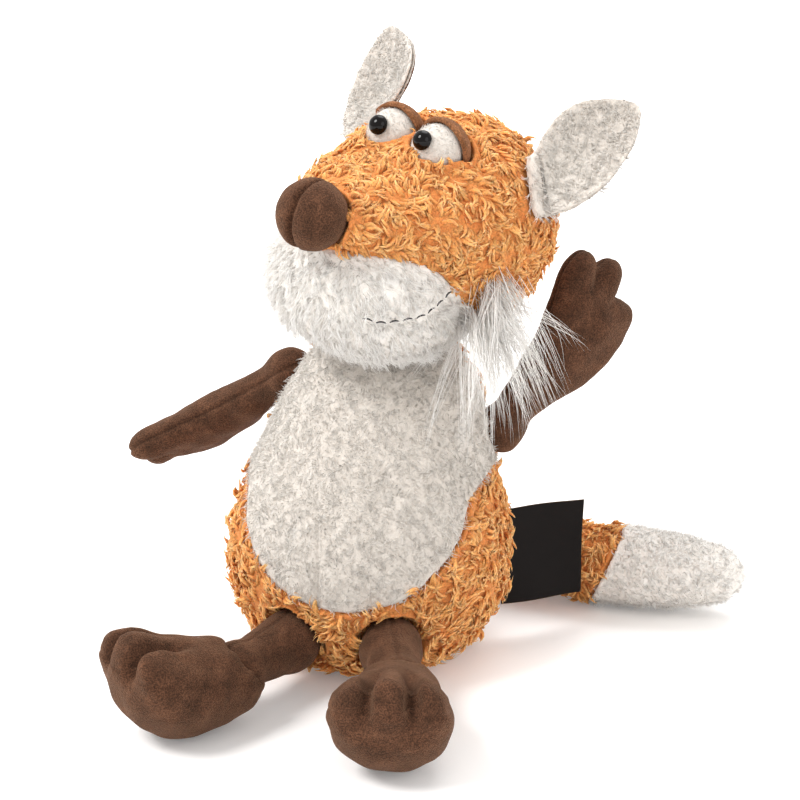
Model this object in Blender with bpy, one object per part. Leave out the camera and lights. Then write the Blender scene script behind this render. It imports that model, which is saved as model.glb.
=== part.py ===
"""A sitting plush fox, built as its sewn covers, stuffing and hard fittings.

Metres, +Z up. The fox faces -Y and its own left is +X.
The origin is the middle of the flat seat, on the surface that the fox sits on.
"""
import math

import bmesh
import bpy
from mathutils import Euler, Matrix, Vector

# Cloth and clearances
cover_thickness = 0.0030
velour_thickness = 0.0020
root_pole_angle = 22.0
root_hole_share = 0.25
sewn_gap = 0.0003
joint_gap = 0.0004
cut_overrun = 0.0200

# Body: a pear with a flat seat, leaning a little to its left towards the neck
body_radius = 0.0725
body_height = 0.1520
body_lean = 0.0090
body_lean_start = 0.0600
seat_radius = 0.0360
# share of the height, share of the radius between the seat's edge (0) and the widest ring (1)
body_lower_shares = ((0.015, 0.27), (0.06, 0.55), (0.14, 0.81), (0.26, 0.97))
# share of the height, share of the radius
body_upper_shares = ((0.38, 1.0), (0.52, 0.935), (0.65, 0.83), (0.78, 0.735), (0.90, 0.65), (0.96, 0.57))

# Neck: a round dome that the head sits on, both ways of turning about its centre
neck_radius = 0.0340
neck_height = 0.1460
neck_set_back = 0.0030
neck_dome_start = 72.0
neck_hole_radius = 0.0150
neck_core_radius = 0.0190

# Belly panel, sewn into the front of the body
belly_half_width = 0.0540
belly_bottom = 0.0450
belly_widest = 0.0900
belly_flare_height = 0.1080
belly_flare_width = 0.0850
belly_side_seam = 0.0080

# Pellet bag in the seat
pellet_bag_radius = 0.0440
pellet_bag_height = 0.0260
pellet_bag_lift = 0.0050
pellet_bag_tie_radius = 0.0080

# Head, in its own frame: faces -Y, its left is +X, its origin is the middle of the skull
head_centre = (0.0310, 0.0125, 0.2160)
head_yaw = -27.0
head_pitch = 12.0
head_roll = 9.0
head_width = 0.1170
head_height = 0.1110
head_back = 0.0600
snout_reach = 0.0980
# share of the reach (back is +1, front is -1), width share, top share, bottom share
head_shares = (
    (0.95, 0.33, 0.37, 0.39),
    (0.76, 0.67, 0.70, 0.72),
    (0.45, 0.91, 0.90, 0.93),
    (0.10, 1.0, 0.95, 0.99),
    (-0.18, 0.98, 0.88, 0.98),
    (-0.40, 0.87, 0.68, 0.86),
    (-0.59, 0.70, 0.45, 0.54),
    (-0.78, 0.50, 0.27, 0.34),
    (-0.92, 0.31, 0.14, 0.27),
)
head_back_pole_share = -0.03
head_front_pole_share = -0.08

# Muzzle: a white bean under the snout
muzzle_width = 0.0940
muzzle_length = 0.0950
muzzle_height = 0.0680
muzzle_forward = 0.0385
muzzle_drop = 0.0330
muzzle_fullness = 2.5

# Nose
nose_radius = 0.0170
nose_forward = 0.0945
nose_drop = 0.0020
nose_seam_depth = 0.0018
nose_seam_spread = 24.0
nose_back_share = 0.5

# Eyes
eye_spacing = 0.0262
eye_forward = 0.0330
eye_rise = 0.0340
eye_pad_radius = 0.0130
eye_turn = -1.0
eye_look_up = 10.0
bead_radius = 0.0050
bead_height = 0.0042
bead_offset_up = 0.0015
shank_radius = 0.0018
shank_length = 0.0085
washer_radius = 0.0050
washer_thickness = 0.0014
lid_thickness = 0.0030
lid_tilt = 50.0
lid_lean = 8.0
lid_start = 0.0035

# Mouth: a thread over the left side of the muzzle, by angle round it and above its middle
thread_radius = 0.0006
mouth_from_angle = 38.0
mouth_to_angle = 83.0
mouth_low_angle = -11.0
mouth_lift_angle = 27.0

# Ears
ear_length = 0.0600
ear_width = 0.0420
ear_layer = 0.0024
ear_cup = 0.0080
ear_root_slant = 30.0
ear_root_radius = 0.0034
ear_stand_off = 0.0014
ear_spacing = 0.0960
ear_back_set = -0.0020
ear_rise = 0.0280
ear_lean = 24.0
ear_sweep = 32.0
ear_turn = 20.0
# share of the length, half width share
ear_shares = (
    (0.0, 0.62), (0.12, 0.80), (0.28, 0.96), (0.45, 1.0),
    (0.62, 0.90), (0.78, 0.68), (0.90, 0.42), (0.97, 0.20),
)

# Cheek tufts
tuft_length = 0.0420
tuft_width = 0.0260
tuft_thickness = 0.0090
tuft_spacing = 0.0980
tuft_forward = 0.0200
tuft_drop = 0.0260
# share of the length, width share, thickness share, share of the length outwards
tuft_shares = (
    (0.0, 0.7, 0.7, 0.0),
    (0.16, 1.0, 1.0, 0.02),
    (0.42, 0.92, 0.9, 0.05),
    (0.70, 0.66, 0.7, 0.07),
    (0.90, 0.34, 0.4, 0.08),
)

# Arms
arm_length = 0.0880
arm_width = 0.0540
arm_thickness = 0.0240
arm_ball_radius = 0.0130
arm_neck_share = 0.72
# share of the length, bend share of the length, width share, thickness share
arm_shares = (
    (0.19, 0.015, 0.42, 0.76),
    (0.33, 0.050, 0.56, 0.92),
    (0.48, 0.085, 0.72, 1.0),
    (0.63, 0.095, 0.88, 1.0),
    (0.78, 0.075, 1.0, 0.94),
    (0.90, 0.040, 0.98, 0.84),
    (0.97, 0.020, 0.74, 0.60),
)
arm_tip_shares = (1.02, 0.010)
# share of the length, bend share, radius share of the thickness
finger_shares = ((0.950, -0.160, 0.39), (1.000, 0.010, 0.41), (0.870, 0.215, 0.40))
finger_stretch = 1.35
finger_splay_shares = (-14.0, 4.0, 42.0)

left_shoulder = (0.0622, 0.0140, 0.1120)
left_arm_azimuth = 40.0
left_arm_elevation = 50.0
left_arm_twist = 0.0
right_shoulder = (-0.0421, 0.0129, 0.1345)
right_arm_azimuth = 166.0
right_arm_elevation = -33.0
right_arm_twist = -74.0

# Legs and feet
leg_length = 0.0370
leg_radius = 0.0135
hip_ball_radius = 0.0165
ankle_ball_radius = 0.0142
ankle_set_back = 0.0020
ankle_neck_share = 0.9
right_hip = (-0.0275, -0.0600, 0.0250)
right_leg_azimuth = -117.0
left_hip = (0.0220, -0.0620, 0.0255)
left_leg_azimuth = -75.0
foot_length = 0.0800
foot_width = 0.0560
foot_thickness = 0.0460
# share of the length, rise share of the thickness, width share, thickness share
foot_shares = (
    (-0.175, -0.04, 0.36, 0.40),
    (-0.10, -0.06, 0.56, 0.62),
    (0.03, -0.10, 0.68, 0.80),
    (0.18, -0.16, 0.80, 0.93),
    (0.34, -0.20, 0.93, 1.0),
    (0.50, -0.18, 1.0, 0.98),
    (0.62, -0.12, 0.98, 0.88),
    (0.71, -0.05, 0.82, 0.68),
)
foot_heel_share = -0.205
foot_tip_share = 0.760
# share of the length, side share of the width, radius share of the width
toe_shares = ((0.66, -0.31, 0.215), (0.72, 0.0, 0.235), (0.66, 0.31, 0.215))
toe_rise_share = 0.08
toe_stretch = 1.2
right_foot_azimuth = -137.0
right_foot_elevation = 15.0
right_foot_twist = 0.0
left_foot_azimuth = -84.0
left_foot_elevation = 13.0
left_foot_twist = 0.0

# Tail
tail_length = 0.2010
tail_radius = 0.0222
tail_ball_radius = 0.0165
tail_root = (0.0040, 0.0665, 0.0226)
# share of the length along +X, share towards +Y, radius share
tail_shares = (
    (0.055, 0.060, 0.60),
    (0.17, 0.097, 0.79),
    (0.34, 0.068, 0.91),
    (0.55, 0.015, 1.0),
    (0.74, -0.006, 0.91),
    (0.86, -0.015, 0.60),
)
tail_tip_shares = (0.905, -0.018)
tail_neck_share = 0.50
tail_seam_share = 0.53
tail_seam_slant = 22.0

# Label
label_width = 0.0390
label_height = 0.0470
label_thickness = 0.0012
label_root_radius = 0.0012
label_azimuth = 110.0
label_middle_height = 0.0400
label_tuck = 0.0022
label_swing = 10.0
label_lean = -5.0
label_range = 25.0
label_slot_reach = 0.0080

# Facets round each kind of piece
body_sides = 16
head_sides = 16
neck_sides = 24
limb_sides = 10
ball_sides = 12
small_sides = 8
ball_steps = 4


for leftover in list(bpy.data.objects):
    bpy.data.objects.remove(leftover, do_unlink=True)


def colour_of(red, green, blue):
    """Linear colour of a display colour given in 0 to 255."""
    linear = []
    for value in (red, green, blue):
        share = value / 255
        linear.append(share / 12.92 if share <= 0.04045 else ((share + 0.055) / 1.055) ** 2.4)
    return (*linear, 1)


def make_material(name, colour, roughness, metallic=0):
    material = bpy.data.materials.new(name)
    material.use_nodes = True
    shader = material.node_tree.nodes["Principled BSDF"]
    shader.inputs["Base Color"].default_value = colour
    shader.inputs["Roughness"].default_value = roughness
    shader.inputs["Metallic"].default_value = metallic
    material.diffuse_color = colour
    return material


orange_pile = make_material("orange_curly_pile", colour_of(214, 134, 70), 0.95)
white_pile = make_material("white_pile", colour_of(232, 228, 220), 0.95)
brown_velour = make_material("brown_velour", colour_of(100, 69, 53), 0.9)
stuffing_fibre = make_material("stuffing_fibre", colour_of(240, 240, 236), 1)
bag_cloth = make_material("bag_cloth", colour_of(220, 214, 200), 0.9)
black_plastic = make_material("black_gloss_plastic", colour_of(12, 9, 8), 0.08)
washer_plastic = make_material("white_plastic", colour_of(225, 225, 222), 0.5)
black_thread = make_material("black_thread", colour_of(30, 26, 26), 0.8)
black_satin = make_material("black_satin", colour_of(32, 27, 24), 0.35)


def finish_object(name, mesh_data, material=None, matrix=None):
    """Link a bmesh as a smooth shaded object, faces pointing out."""
    mesh_data.normal_update()
    bmesh.ops.triangulate(mesh_data, faces=mesh_data.faces)
    bmesh.ops.recalc_face_normals(mesh_data, faces=mesh_data.faces)
    mesh = bpy.data.meshes.new(name)
    mesh_data.to_mesh(mesh)
    mesh_data.free()
    mesh.shade_smooth()
    piece = bpy.data.objects.new(name, mesh)
    bpy.context.collection.objects.link(piece)
    if matrix is not None:
        piece.matrix_world = matrix
    if material is not None:
        mesh.materials.append(material)
    else:
        piece.hide_render = True
        piece.display_type = "WIRE"
    return piece


def smooth_stations(stations, steps):
    """Points of a smooth curve through stations of any number of values, steps from each to the next."""
    points = [Vector(station) for station in stations]
    ends = [2 * points[0] - points[1]] + points + [2 * points[-1] - points[-2]]
    curve = []
    for index in range(1, len(ends) - 2):
        before, start, end, after = ends[index - 1:index + 3]
        for step in range(steps):
            t = step / steps
            curve.append(
                start
                + (end - before) * t / 2
                + (2 * before - 5 * start + 4 * end - after) * t ** 2 / 2
                + (3 * start - before - 3 * end + after) * t ** 3 / 2
            )
    curve.append(points[-1])
    return curve


def oval(centre, side, up, half_width, half_top, half_bottom, sides):
    """A ring of points round a centre, with its own height above and below the middle."""
    ring = []
    for index in range(sides):
        angle = 2 * math.pi * index / sides
        height = half_top if math.sin(angle) > 0 else half_bottom
        ring.append(centre + side * half_width * math.cos(angle) + up * height * math.sin(angle))
    return ring


def round_ring(centre, radius, sides, frame=Matrix.Identity(3)):
    return oval(centre, frame @ Vector((1, 0, 0)), frame @ Vector((0, 1, 0)), radius, radius, radius, sides)


def loft(name, rings, start=None, end=None, material=None, matrix=None):
    """Skin over equal rings. Each end closes on a pole point, or without one on a flat face."""
    mesh_data = bmesh.new()
    rows = [[mesh_data.verts.new(point) for point in ring] for ring in rings]
    count = len(rings[0])
    for row, following in zip(rows, rows[1:]):
        for index in range(count):
            turn = (index + 1) % count
            mesh_data.faces.new((row[index], row[turn], following[turn], following[index]))
    for row, pole in ((rows[0], start), (rows[-1], end)):
        if pole is None:
            mesh_data.faces.new(row)
            continue
        tip = mesh_data.verts.new(pole)
        for index in range(count):
            mesh_data.faces.new((row[index], row[(index + 1) % count], tip))
    return finish_object(name, mesh_data, material, matrix)


def globe(name, radii, sides, material=None, matrix=None):
    """An ellipsoid with its poles on its own Z."""
    mesh_data = bmesh.new()
    bmesh.ops.create_uvsphere(mesh_data, u_segments=sides, v_segments=sides // 2, radius=1)
    bmesh.ops.scale(mesh_data, vec=Vector(radii), verts=mesh_data.verts)
    return finish_object(name, mesh_data, material, matrix)


def clear_radius(radius, sides):
    """Radius of a faceted socket whose flats stay clear of a ball of this radius."""
    return (radius + joint_gap) / math.cos(math.pi / sides) ** 2


def socket(name, place, radius, sides=ball_sides):
    """Faceted hollow for a ball, turned half a facet so that its flats face the ball's corners."""
    wide = clear_radius(radius, sides)
    half_facet = math.pi / sides
    turn = Matrix.Rotation(half_facet, 4, "X") @ Matrix.Rotation(half_facet, 4, "Z")
    return globe(name, (wide, wide, wide), sides, matrix=Matrix.Translation(place) @ turn)


def offset_copy(source, name, distance, material=None):
    """The same skin moved along its normals: outwards for a positive distance."""
    mesh = source.data.copy()
    mesh.name = name
    normals = [vertex.normal.copy() for vertex in mesh.vertices]
    for vertex, normal in zip(mesh.vertices, normals):
        vertex.co += normal * distance
    mesh.materials.clear()
    piece = bpy.data.objects.new(name, mesh)
    bpy.context.collection.objects.link(piece)
    piece.matrix_world = source.matrix_world
    if material is not None:
        mesh.materials.append(material)
    else:
        piece.hide_render = True
        piece.display_type = "WIRE"
    return piece


def set_origin(piece, place):
    """Move an object's origin and leave its shape where it is."""
    shift = piece.matrix_world.inverted() @ Vector(place)
    piece.data.transform(Matrix.Translation(-shift))
    piece.matrix_world = piece.matrix_world @ Matrix.Translation(shift)


def boolean(piece, operation, *tools):
    for tool in tools:
        modifier = piece.modifiers.new(f"{operation.lower()} {tool.name}", "BOOLEAN")
        modifier.operation = operation
        modifier.solver = "EXACT"
        modifier.object = tool


def cut(piece, *tools):
    boolean(piece, "DIFFERENCE", *tools)


def keep_inside(piece, tool):
    boolean(piece, "INTERSECT", tool)


def join_on(piece, *tools):
    boolean(piece, "UNION", *tools)


def aim(place, azimuth, elevation, twist=0):
    """Frame at a place whose +Z points along a compass angle from +X and an angle above level."""
    turn = Matrix.Rotation(math.radians(azimuth), 4, "Z")
    tilt = Matrix.Rotation(math.radians(90 - elevation), 4, "Y")
    return Matrix.Translation(place) @ turn @ tilt @ Matrix.Rotation(math.radians(twist), 4, "Z")


def ball_rings(radius, from_angle, to_angle, steps, sides):
    """Rings of a ball about the origin between two angles from its -Z pole."""
    rings = []
    for step in range(steps + 1):
        angle = math.radians(from_angle + (to_angle - from_angle) * step / steps)
        middle = Vector((0, 0, -radius * math.cos(angle)))
        width = radius * math.sin(angle)
        rings.append(round_ring(middle, width, sides))
    return rings


def body_middle(height):
    """The body's middle line, which leans over above body_lean_start."""
    share = max(0, (height - body_lean_start) / (neck_height - body_lean_start))
    eased = min(1, share) ** 1.5
    return Vector((body_lean * eased, neck_set_back * eased, height))


def body_outline():
    """Height and radius of each ring, from the seat's edge up to the neck's dome."""
    outline = [(0, seat_radius)]
    for height_share, growth in body_lower_shares:
        outline.append((height_share * body_height, seat_radius + (body_radius - seat_radius) * growth))
    for height_share, radius_share in body_upper_shares:
        outline.append((height_share * body_height, radius_share * body_radius))
    dome_steps = 4
    for step in range(dome_steps):
        angle = math.radians(neck_dome_start * (1 - step / dome_steps))
        outline.append((neck_height + neck_radius * math.cos(angle), neck_radius * math.sin(angle)))
    return outline


def make_body_skin():
    rings = []
    for height, radius in body_outline():
        rings.append(round_ring(body_middle(height), radius, body_sides))
    top = body_middle(neck_height)
    top.z = neck_height + neck_radius
    return loft("body_skin", rings, end=top)


def make_belly_cutter(name, growth):
    """The belly panel's outline, pushed through from the front: a round bottom that flares to the side seams."""
    outline = []
    steps = 12
    width = belly_half_width + growth
    drop = belly_widest - belly_bottom + growth
    for step in range(steps + 1):
        angle = math.pi * step / steps
        outline.append((-width * math.cos(angle), belly_widest - drop * math.sin(angle)))
    top = neck_height + neck_radius + cut_overrun
    flare_steps = 3
    right_side = []
    for step in range(1, flare_steps + 1):
        share = step / flare_steps
        height = belly_widest + (belly_flare_height - belly_widest) * share - growth
        right_side.append((width + (belly_flare_width - belly_half_width) * share ** 2, height))
    right_side.append((right_side[-1][0], top))
    outline += right_side + [(-x, z) for x, z in reversed(right_side)]
    mesh_data = bmesh.new()
    back = belly_side_seam + growth
    front = [mesh_data.verts.new((x, -body_radius - cut_overrun, z)) for x, z in outline]
    rear = [mesh_data.verts.new((x, back, z)) for x, z in outline]
    mesh_data.faces.new(front)
    mesh_data.faces.new(rear)
    for index in range(len(outline)):
        turn = (index + 1) % len(outline)
        mesh_data.faces.new((front[index], front[turn], rear[turn], rear[index]))
    return finish_object(name, mesh_data)


neck_place = body_middle(neck_height)
neck_place.z = neck_height


def make_neck_post(name, growth, length):
    """Round post up through the neck's hole, from the neck's centre."""
    rings = []
    radius = neck_hole_radius + growth
    for height in (0, length):
        rings.append(round_ring(Vector((0, 0, height)), radius, ball_sides))
    return loft(name, rings, matrix=Matrix.Translation(neck_place))


def make_limb_sockets():
    sockets = [
        socket("left_shoulder_socket", left_shoulder, arm_ball_radius),
        socket("right_shoulder_socket", right_shoulder, arm_ball_radius),
        socket("left_hip_socket", left_hip, hip_ball_radius),
        socket("right_hip_socket", right_hip, hip_ball_radius),
        socket("tail_socket", tail_root, tail_ball_radius),
    ]
    return sockets


def body_radius_at(height):
    """Radius of the body's outline at a height."""
    outline = body_outline()
    for (low, low_radius), (high, high_radius) in zip(outline, outline[1:]):
        if low <= height <= high:
            return low_radius + (high_radius - low_radius) * (height - low) / (high - low)
    return 0


def label_matrix():
    """Frame of the label's sewn edge: +Z up along the edge, +X out of the body."""
    angle = math.radians(label_azimuth - 90)
    out = Vector((math.cos(angle), math.sin(angle), 0))
    reach = body_radius_at(label_middle_height) - label_tuck
    place = body_middle(label_middle_height) + out * reach
    turn = Matrix.Rotation(angle, 4, "Z")
    return Matrix.Translation(place) @ turn @ Matrix.Rotation(math.radians(label_lean), 4, "Y")


def make_label():
    """A folded satin tab on a round sewn edge."""
    rings = []
    for share in (-0.5, 0.5):
        middle = Vector((0, 0, share * label_height))
        ring = []
        steps = small_sides
        half_angle = math.asin(min(1, label_thickness / 2 / label_root_radius))
        for step in range(steps + 1):
            angle = half_angle + (2 * math.pi - 2 * half_angle) * step / steps
            ring.append(middle + Vector((math.cos(angle), math.sin(angle), 0)) * label_root_radius)
        for x, y in ((label_width, -label_thickness / 2), (label_width, label_thickness / 2)):
            ring.append(middle + Vector((x, y, 0)))
        rings.append(ring)
    swing = Matrix.Rotation(math.radians(label_swing), 4, "Z")
    return loft("label", rings, material=black_satin, matrix=label_matrix() @ swing)


def make_label_slot():
    """Groove round the label's root that opens out over the label's swing."""
    radius = clear_radius(label_root_radius, small_sides)
    open_angle = math.radians(label_range)
    arc_start = open_angle + math.pi / 2
    arc_end = 2 * math.pi - arc_start
    section = []
    for step in range(small_sides + 1):
        angle = arc_start + (arc_end - arc_start) * step / small_sides
        section.append(Vector((radius * math.cos(angle), radius * math.sin(angle), 0)))
    reach = Vector((label_slot_reach * math.cos(open_angle), label_slot_reach * math.sin(open_angle), 0))
    upper = section[0] + reach
    section.insert(0, upper)
    section.append(Vector((upper.x, -upper.y, 0)))
    half = Vector((0, 0, label_height / 2 + joint_gap))
    rings = [[point - half for point in section], [point + half for point in section]]
    swing = Matrix.Rotation(math.radians(label_swing), 4, "Z")
    return loft("label_slot", rings, matrix=label_matrix() @ swing)


def make_body():
    skin = make_body_skin()
    inner = offset_copy(skin, "body_inner", -cover_thickness)
    filling = offset_copy(skin, "body_stuffing", -cover_thickness - sewn_gap, stuffing_fibre)
    cover = offset_copy(skin, "body_cover", 0, orange_pile)
    panel = offset_copy(skin, "belly_panel", 0, white_pile)
    sockets = make_limb_sockets()
    clear_post = (neck_hole_radius + joint_gap) / math.cos(math.pi / ball_sides)
    hole = make_neck_post("neck_hole", clear_post - neck_hole_radius, neck_radius + cut_overrun)
    label_slot = make_label_slot()
    belly = make_belly_cutter("belly_cutter", 0)
    belly_clear = make_belly_cutter("belly_clearance", sewn_gap)
    core = socket("neck_core_socket", neck_place, neck_core_radius)
    bag_clear = make_pellet_bag("pellet_bag_clearance", sewn_gap)
    cut(cover, inner, hole, *sockets, label_slot, belly_clear)
    cut(panel, inner, hole, *sockets)
    keep_inside(panel, belly)
    bag_middle = cover_thickness + pellet_bag_height / 2
    tie = make_rod("pellet_bag_tie", pellet_bag_tie_radius, -cut_overrun, bag_middle)
    cut(filling, hole, core, *sockets, label_slot, bag_clear, tie)
    make_pellet_bag("pellet_bag", 0, bag_cloth)


def make_pellet_bag(name, growth, material=None):
    """A low round bag of pellets under the stuffing."""
    centre = Vector((0, 0, cover_thickness + pellet_bag_lift + pellet_bag_height / 2))
    radii = (pellet_bag_radius + growth, pellet_bag_radius + growth, pellet_bag_height / 2 + growth)
    return globe(name, radii, ball_sides, material, Matrix.Translation(centre))


def make_neck_stuffing():
    """The stuffing that the head turns on: a ball in the body and a post up into the head."""
    place = Matrix.Translation(neck_place)
    ball = globe("neck_stuffing", (neck_core_radius,) * 3, ball_sides, stuffing_fibre, place)
    post = make_neck_post("neck_post", 0, neck_radius + cut_overrun)
    reach = neck_radius - sewn_gap
    limit = globe("neck_post_limit", (reach, reach, reach), body_sides, matrix=place)
    join_on(ball, post)
    keep_inside(ball, limit)


head_matrix = (
    Matrix.Translation(head_centre)
    @ Euler((0, 0, math.radians(head_yaw))).to_matrix().to_4x4()
    @ Euler((math.radians(-head_pitch), 0, 0)).to_matrix().to_4x4()
    @ Euler((0, math.radians(head_roll), 0)).to_matrix().to_4x4()
)


def head_reach(share):
    """Place along the head's length: +1 is the back of the skull and -1 the tip of the snout."""
    return share * (head_back if share > 0 else snout_reach)


def make_head_skin():
    rings = []
    for reach_share, width_share, top_share, bottom_share in head_shares:
        half_top = top_share * head_height / 2
        half_bottom = bottom_share * head_height / 2
        middle = (half_top - half_bottom) / 2
        half = (half_top + half_bottom) / 2
        centre = Vector((0, head_reach(reach_share), middle))
        width = width_share * head_width / 2
        rings.append(oval(centre, Vector((1, 0, 0)), Vector((0, 0, 1)), width, half, half, head_sides))
    back = Vector((0, head_back, head_back_pole_share * head_height / 2))
    front = Vector((0, -snout_reach, head_front_pole_share * head_height / 2))
    return loft("head_skin", rings, back, front, matrix=head_matrix)


def muzzle_frame():
    return head_matrix @ Matrix.Translation((0, -muzzle_forward, -muzzle_drop))


def muzzle_point(direction):
    """Point of the muzzle's skin, in its own frame, along a direction: a bean fuller than an ellipsoid."""
    size = sum(abs(value) ** muzzle_fullness for value in direction) ** (1 / muzzle_fullness)
    half = (muzzle_width / 2, muzzle_length / 2, muzzle_height / 2)
    return Vector([value / size * reach for value, reach in zip(direction, half)])


def make_muzzle_skin():
    mesh_data = bmesh.new()
    bmesh.ops.create_uvsphere(mesh_data, u_segments=head_sides, v_segments=head_sides // 2, radius=1)
    for vertex in mesh_data.verts:
        vertex.co = muzzle_point(vertex.co)
    return finish_object("muzzle_skin", mesh_data, matrix=muzzle_frame())


def nose_frame():
    return head_matrix @ Matrix.Translation((0, -nose_forward, -nose_drop))


def make_nose_skin():
    """A ball drawn in along one upright seam in front."""
    mesh_data = bmesh.new()
    rows = ball_sides // 2
    bmesh.ops.create_uvsphere(mesh_data, u_segments=head_sides, v_segments=rows, radius=nose_radius)
    for vertex in mesh_data.verts:
        off_seam = math.degrees(math.atan2(abs(vertex.co.x), -vertex.co.y))
        drawn = max(0, 1 - off_seam / nose_seam_spread) ** 2
        rise = vertex.co.z / nose_radius
        vertex.co *= 1 - nose_seam_depth / nose_radius * drawn * max(0, 1 - rise * rise)
    return finish_object("nose_skin", mesh_data, matrix=nose_frame())


def eye_frame(side):
    """Frame of one eye pad: -Y looks out of the pupil."""
    place = Matrix.Translation((side * eye_spacing / 2, -eye_forward, eye_rise))
    turn = Matrix.Rotation(math.radians(side * eye_turn), 4, "Z")
    return head_matrix @ place @ turn @ Matrix.Rotation(math.radians(-eye_look_up), 4, "X")


def front_frame(frame):
    """The same frame turned so that its +Z looks where -Y did."""
    return frame @ Matrix.Rotation(math.radians(90), 4, "X")


def make_lid_block(name, side, growth):
    """The half space, above and behind the eye, that the lid covers."""
    size = 2 * (eye_pad_radius + lid_thickness) + cut_overrun
    mesh_data = bmesh.new()
    bmesh.ops.create_cube(mesh_data, size=size)
    bmesh.ops.translate(mesh_data, vec=Vector((0, 0, size / 2 + lid_start - growth)), verts=mesh_data.verts)
    lean = Matrix.Rotation(math.radians(lid_lean), 4, "Y")
    tilt = Matrix.Rotation(math.radians(-lid_tilt), 4, "X")
    return finish_object(name, mesh_data, matrix=eye_frame(side) @ lean @ tilt)


def make_face_half(name, side):
    """One half of the face, up to half a gap past its middle plane."""
    size = head_width + cut_overrun
    mesh_data = bmesh.new()
    bmesh.ops.create_cube(mesh_data, size=size)
    bmesh.ops.translate(mesh_data, vec=Vector((side * (size - sewn_gap) / 2, 0, 0)), verts=mesh_data.verts)
    return finish_object(name, mesh_data, matrix=head_matrix)


def make_rod(name, radius, start, end, matrix=None, sides=small_sides):
    rings = [round_ring(Vector((0, 0, height)), radius, sides) for height in (start, end)]
    return loft(name, rings, matrix=matrix)


def make_eye(name, side):
    """Pad, lid, safety eye and its lock washer. Returns what the head is cut by."""
    frame = eye_frame(side)
    pad_radius = eye_pad_radius
    front = front_frame(frame) @ Matrix.Translation((0, bead_offset_up, 0))
    pad = globe(f"{name}_eye_pad", (pad_radius,) * 3, ball_sides, white_pile, front_frame(frame))
    hollow = globe(f"{name}_eye_hollow", (pad_radius - velour_thickness,) * 3, ball_sides,
                   matrix=front_frame(frame))
    bore = make_rod(f"{name}_eye_bore", shank_radius + sewn_gap, 0, pad_radius + cut_overrun, front)
    back_radius = pad_radius - 2 * velour_thickness
    back = make_rod(f"{name}_eye_back", back_radius, -pad_radius - cut_overrun, 0, front_frame(frame))
    cut(pad, hollow, bore, back)

    lid_outer = pad_radius + sewn_gap + lid_thickness
    lid = globe(f"{name}_eyelid", (lid_outer,) * 3, ball_sides, brown_velour, front_frame(frame))
    pad_clear = offset_copy(pad, f"{name}_eye_pad_clearance", sewn_gap)
    lid_clear = offset_copy(lid, f"{name}_eyelid_clearance", sewn_gap)
    cut(lid, pad_clear)
    keep_inside(lid, make_lid_block(f"{name}_lid_block", side, 0))
    cut(lid, make_face_half(f"{name}_lid_middle", -side))
    keep_inside(lid_clear, make_lid_block(f"{name}_lid_block_clearance", side, sewn_gap))

    seat = pad_radius + sewn_gap
    bead = globe(f"{name}_eye_bead", (bead_radius, bead_radius, bead_height), ball_sides, black_plastic,
                 front @ Matrix.Translation((0, 0, seat)))
    pad_again = globe(f"{name}_bead_seat", (seat,) * 3, head_sides, matrix=front_frame(frame))
    cut(bead, pad_again)
    shank = make_rod(f"{name}_eye_shank", shank_radius, seat - shank_length, seat + bead_height / 2, front)
    join_on(bead, shank)

    washer_face = pad_radius - velour_thickness - sewn_gap
    washer_end = math.sqrt(washer_face ** 2 - (washer_radius + bead_offset_up) ** 2) - sewn_gap
    washer = make_rod(f"{name}_eye_washer", washer_radius, washer_end - washer_thickness, washer_end, front)
    washer.data.materials.append(washer_plastic)
    washer.hide_render = False
    washer.display_type = "TEXTURED"
    cut(washer, make_rod(f"{name}_washer_bore", shank_radius + sewn_gap, -pad_radius, pad_radius, front))
    return pad_clear, lid_clear


def ear_half_width(share):
    """Half width share of the ear's leaf at a share of its length."""
    table = ear_shares + ((1.0, 0.0),)
    for (low, low_width), (high, high_width) in zip(table, table[1:]):
        if low <= share <= high:
            return low_width + (high_width - low_width) * (share - low) / (high - low)
    return 0


def ear_layer_mesh(name, front_offset, back_offset, clear_of_root, side, material):
    """One cupped leaf layer: +Z along the ear, -Y its open front, its foot cut on the slant."""
    mesh_data = bmesh.new()
    columns = 6
    slope = side * math.tan(math.radians(ear_root_slant))
    clear_foot = (ear_root_radius + sewn_gap) / math.cos(math.radians(ear_root_slant))
    foot_share = clear_foot / (ear_length - abs(slope) * ear_half_width(0) * ear_width / 2)
    rows = sorted({0, foot_share} | {share for share, _ in ear_shares})
    lengths = [share for share in rows if share >= foot_share or not clear_of_root]
    grids = []
    for offset in (front_offset, back_offset):
        grid = []
        for share in lengths:
            row = []
            for column in range(columns + 1):
                across = 2 * column / columns - 1
                x = across * ear_half_width(share) * ear_width / 2
                cup = ear_cup * (1 - across * across) * math.sin(math.pi * share)
                z = share * ear_length - x * slope * (1 - share)
                row.append(mesh_data.verts.new((x, cup + offset, z)))
            grid.append(row)
        tip = mesh_data.verts.new((0, offset, ear_length))
        grids.append((grid, tip))
    for grid, tip in grids:
        for row, following in zip(grid, grid[1:]):
            for column in range(columns):
                mesh_data.faces.new((row[column], row[column + 1], following[column + 1], following[column]))
        for column in range(columns):
            mesh_data.faces.new((grid[-1][column], grid[-1][column + 1], tip))
    (front, front_tip), (back, back_tip) = grids
    for edge in (0, columns):
        for index in range(len(front) - 1):
            corners = (front[index][edge], front[index + 1][edge], back[index + 1][edge], back[index][edge])
            mesh_data.faces.new(corners)
        mesh_data.faces.new((front[-1][edge], front_tip, back_tip, back[-1][edge]))
    for column in range(columns):
        mesh_data.faces.new((front[0][column], front[0][column + 1], back[0][column + 1], back[0][column]))
    return finish_object(name, mesh_data, material, ear_frame(side))


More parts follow.
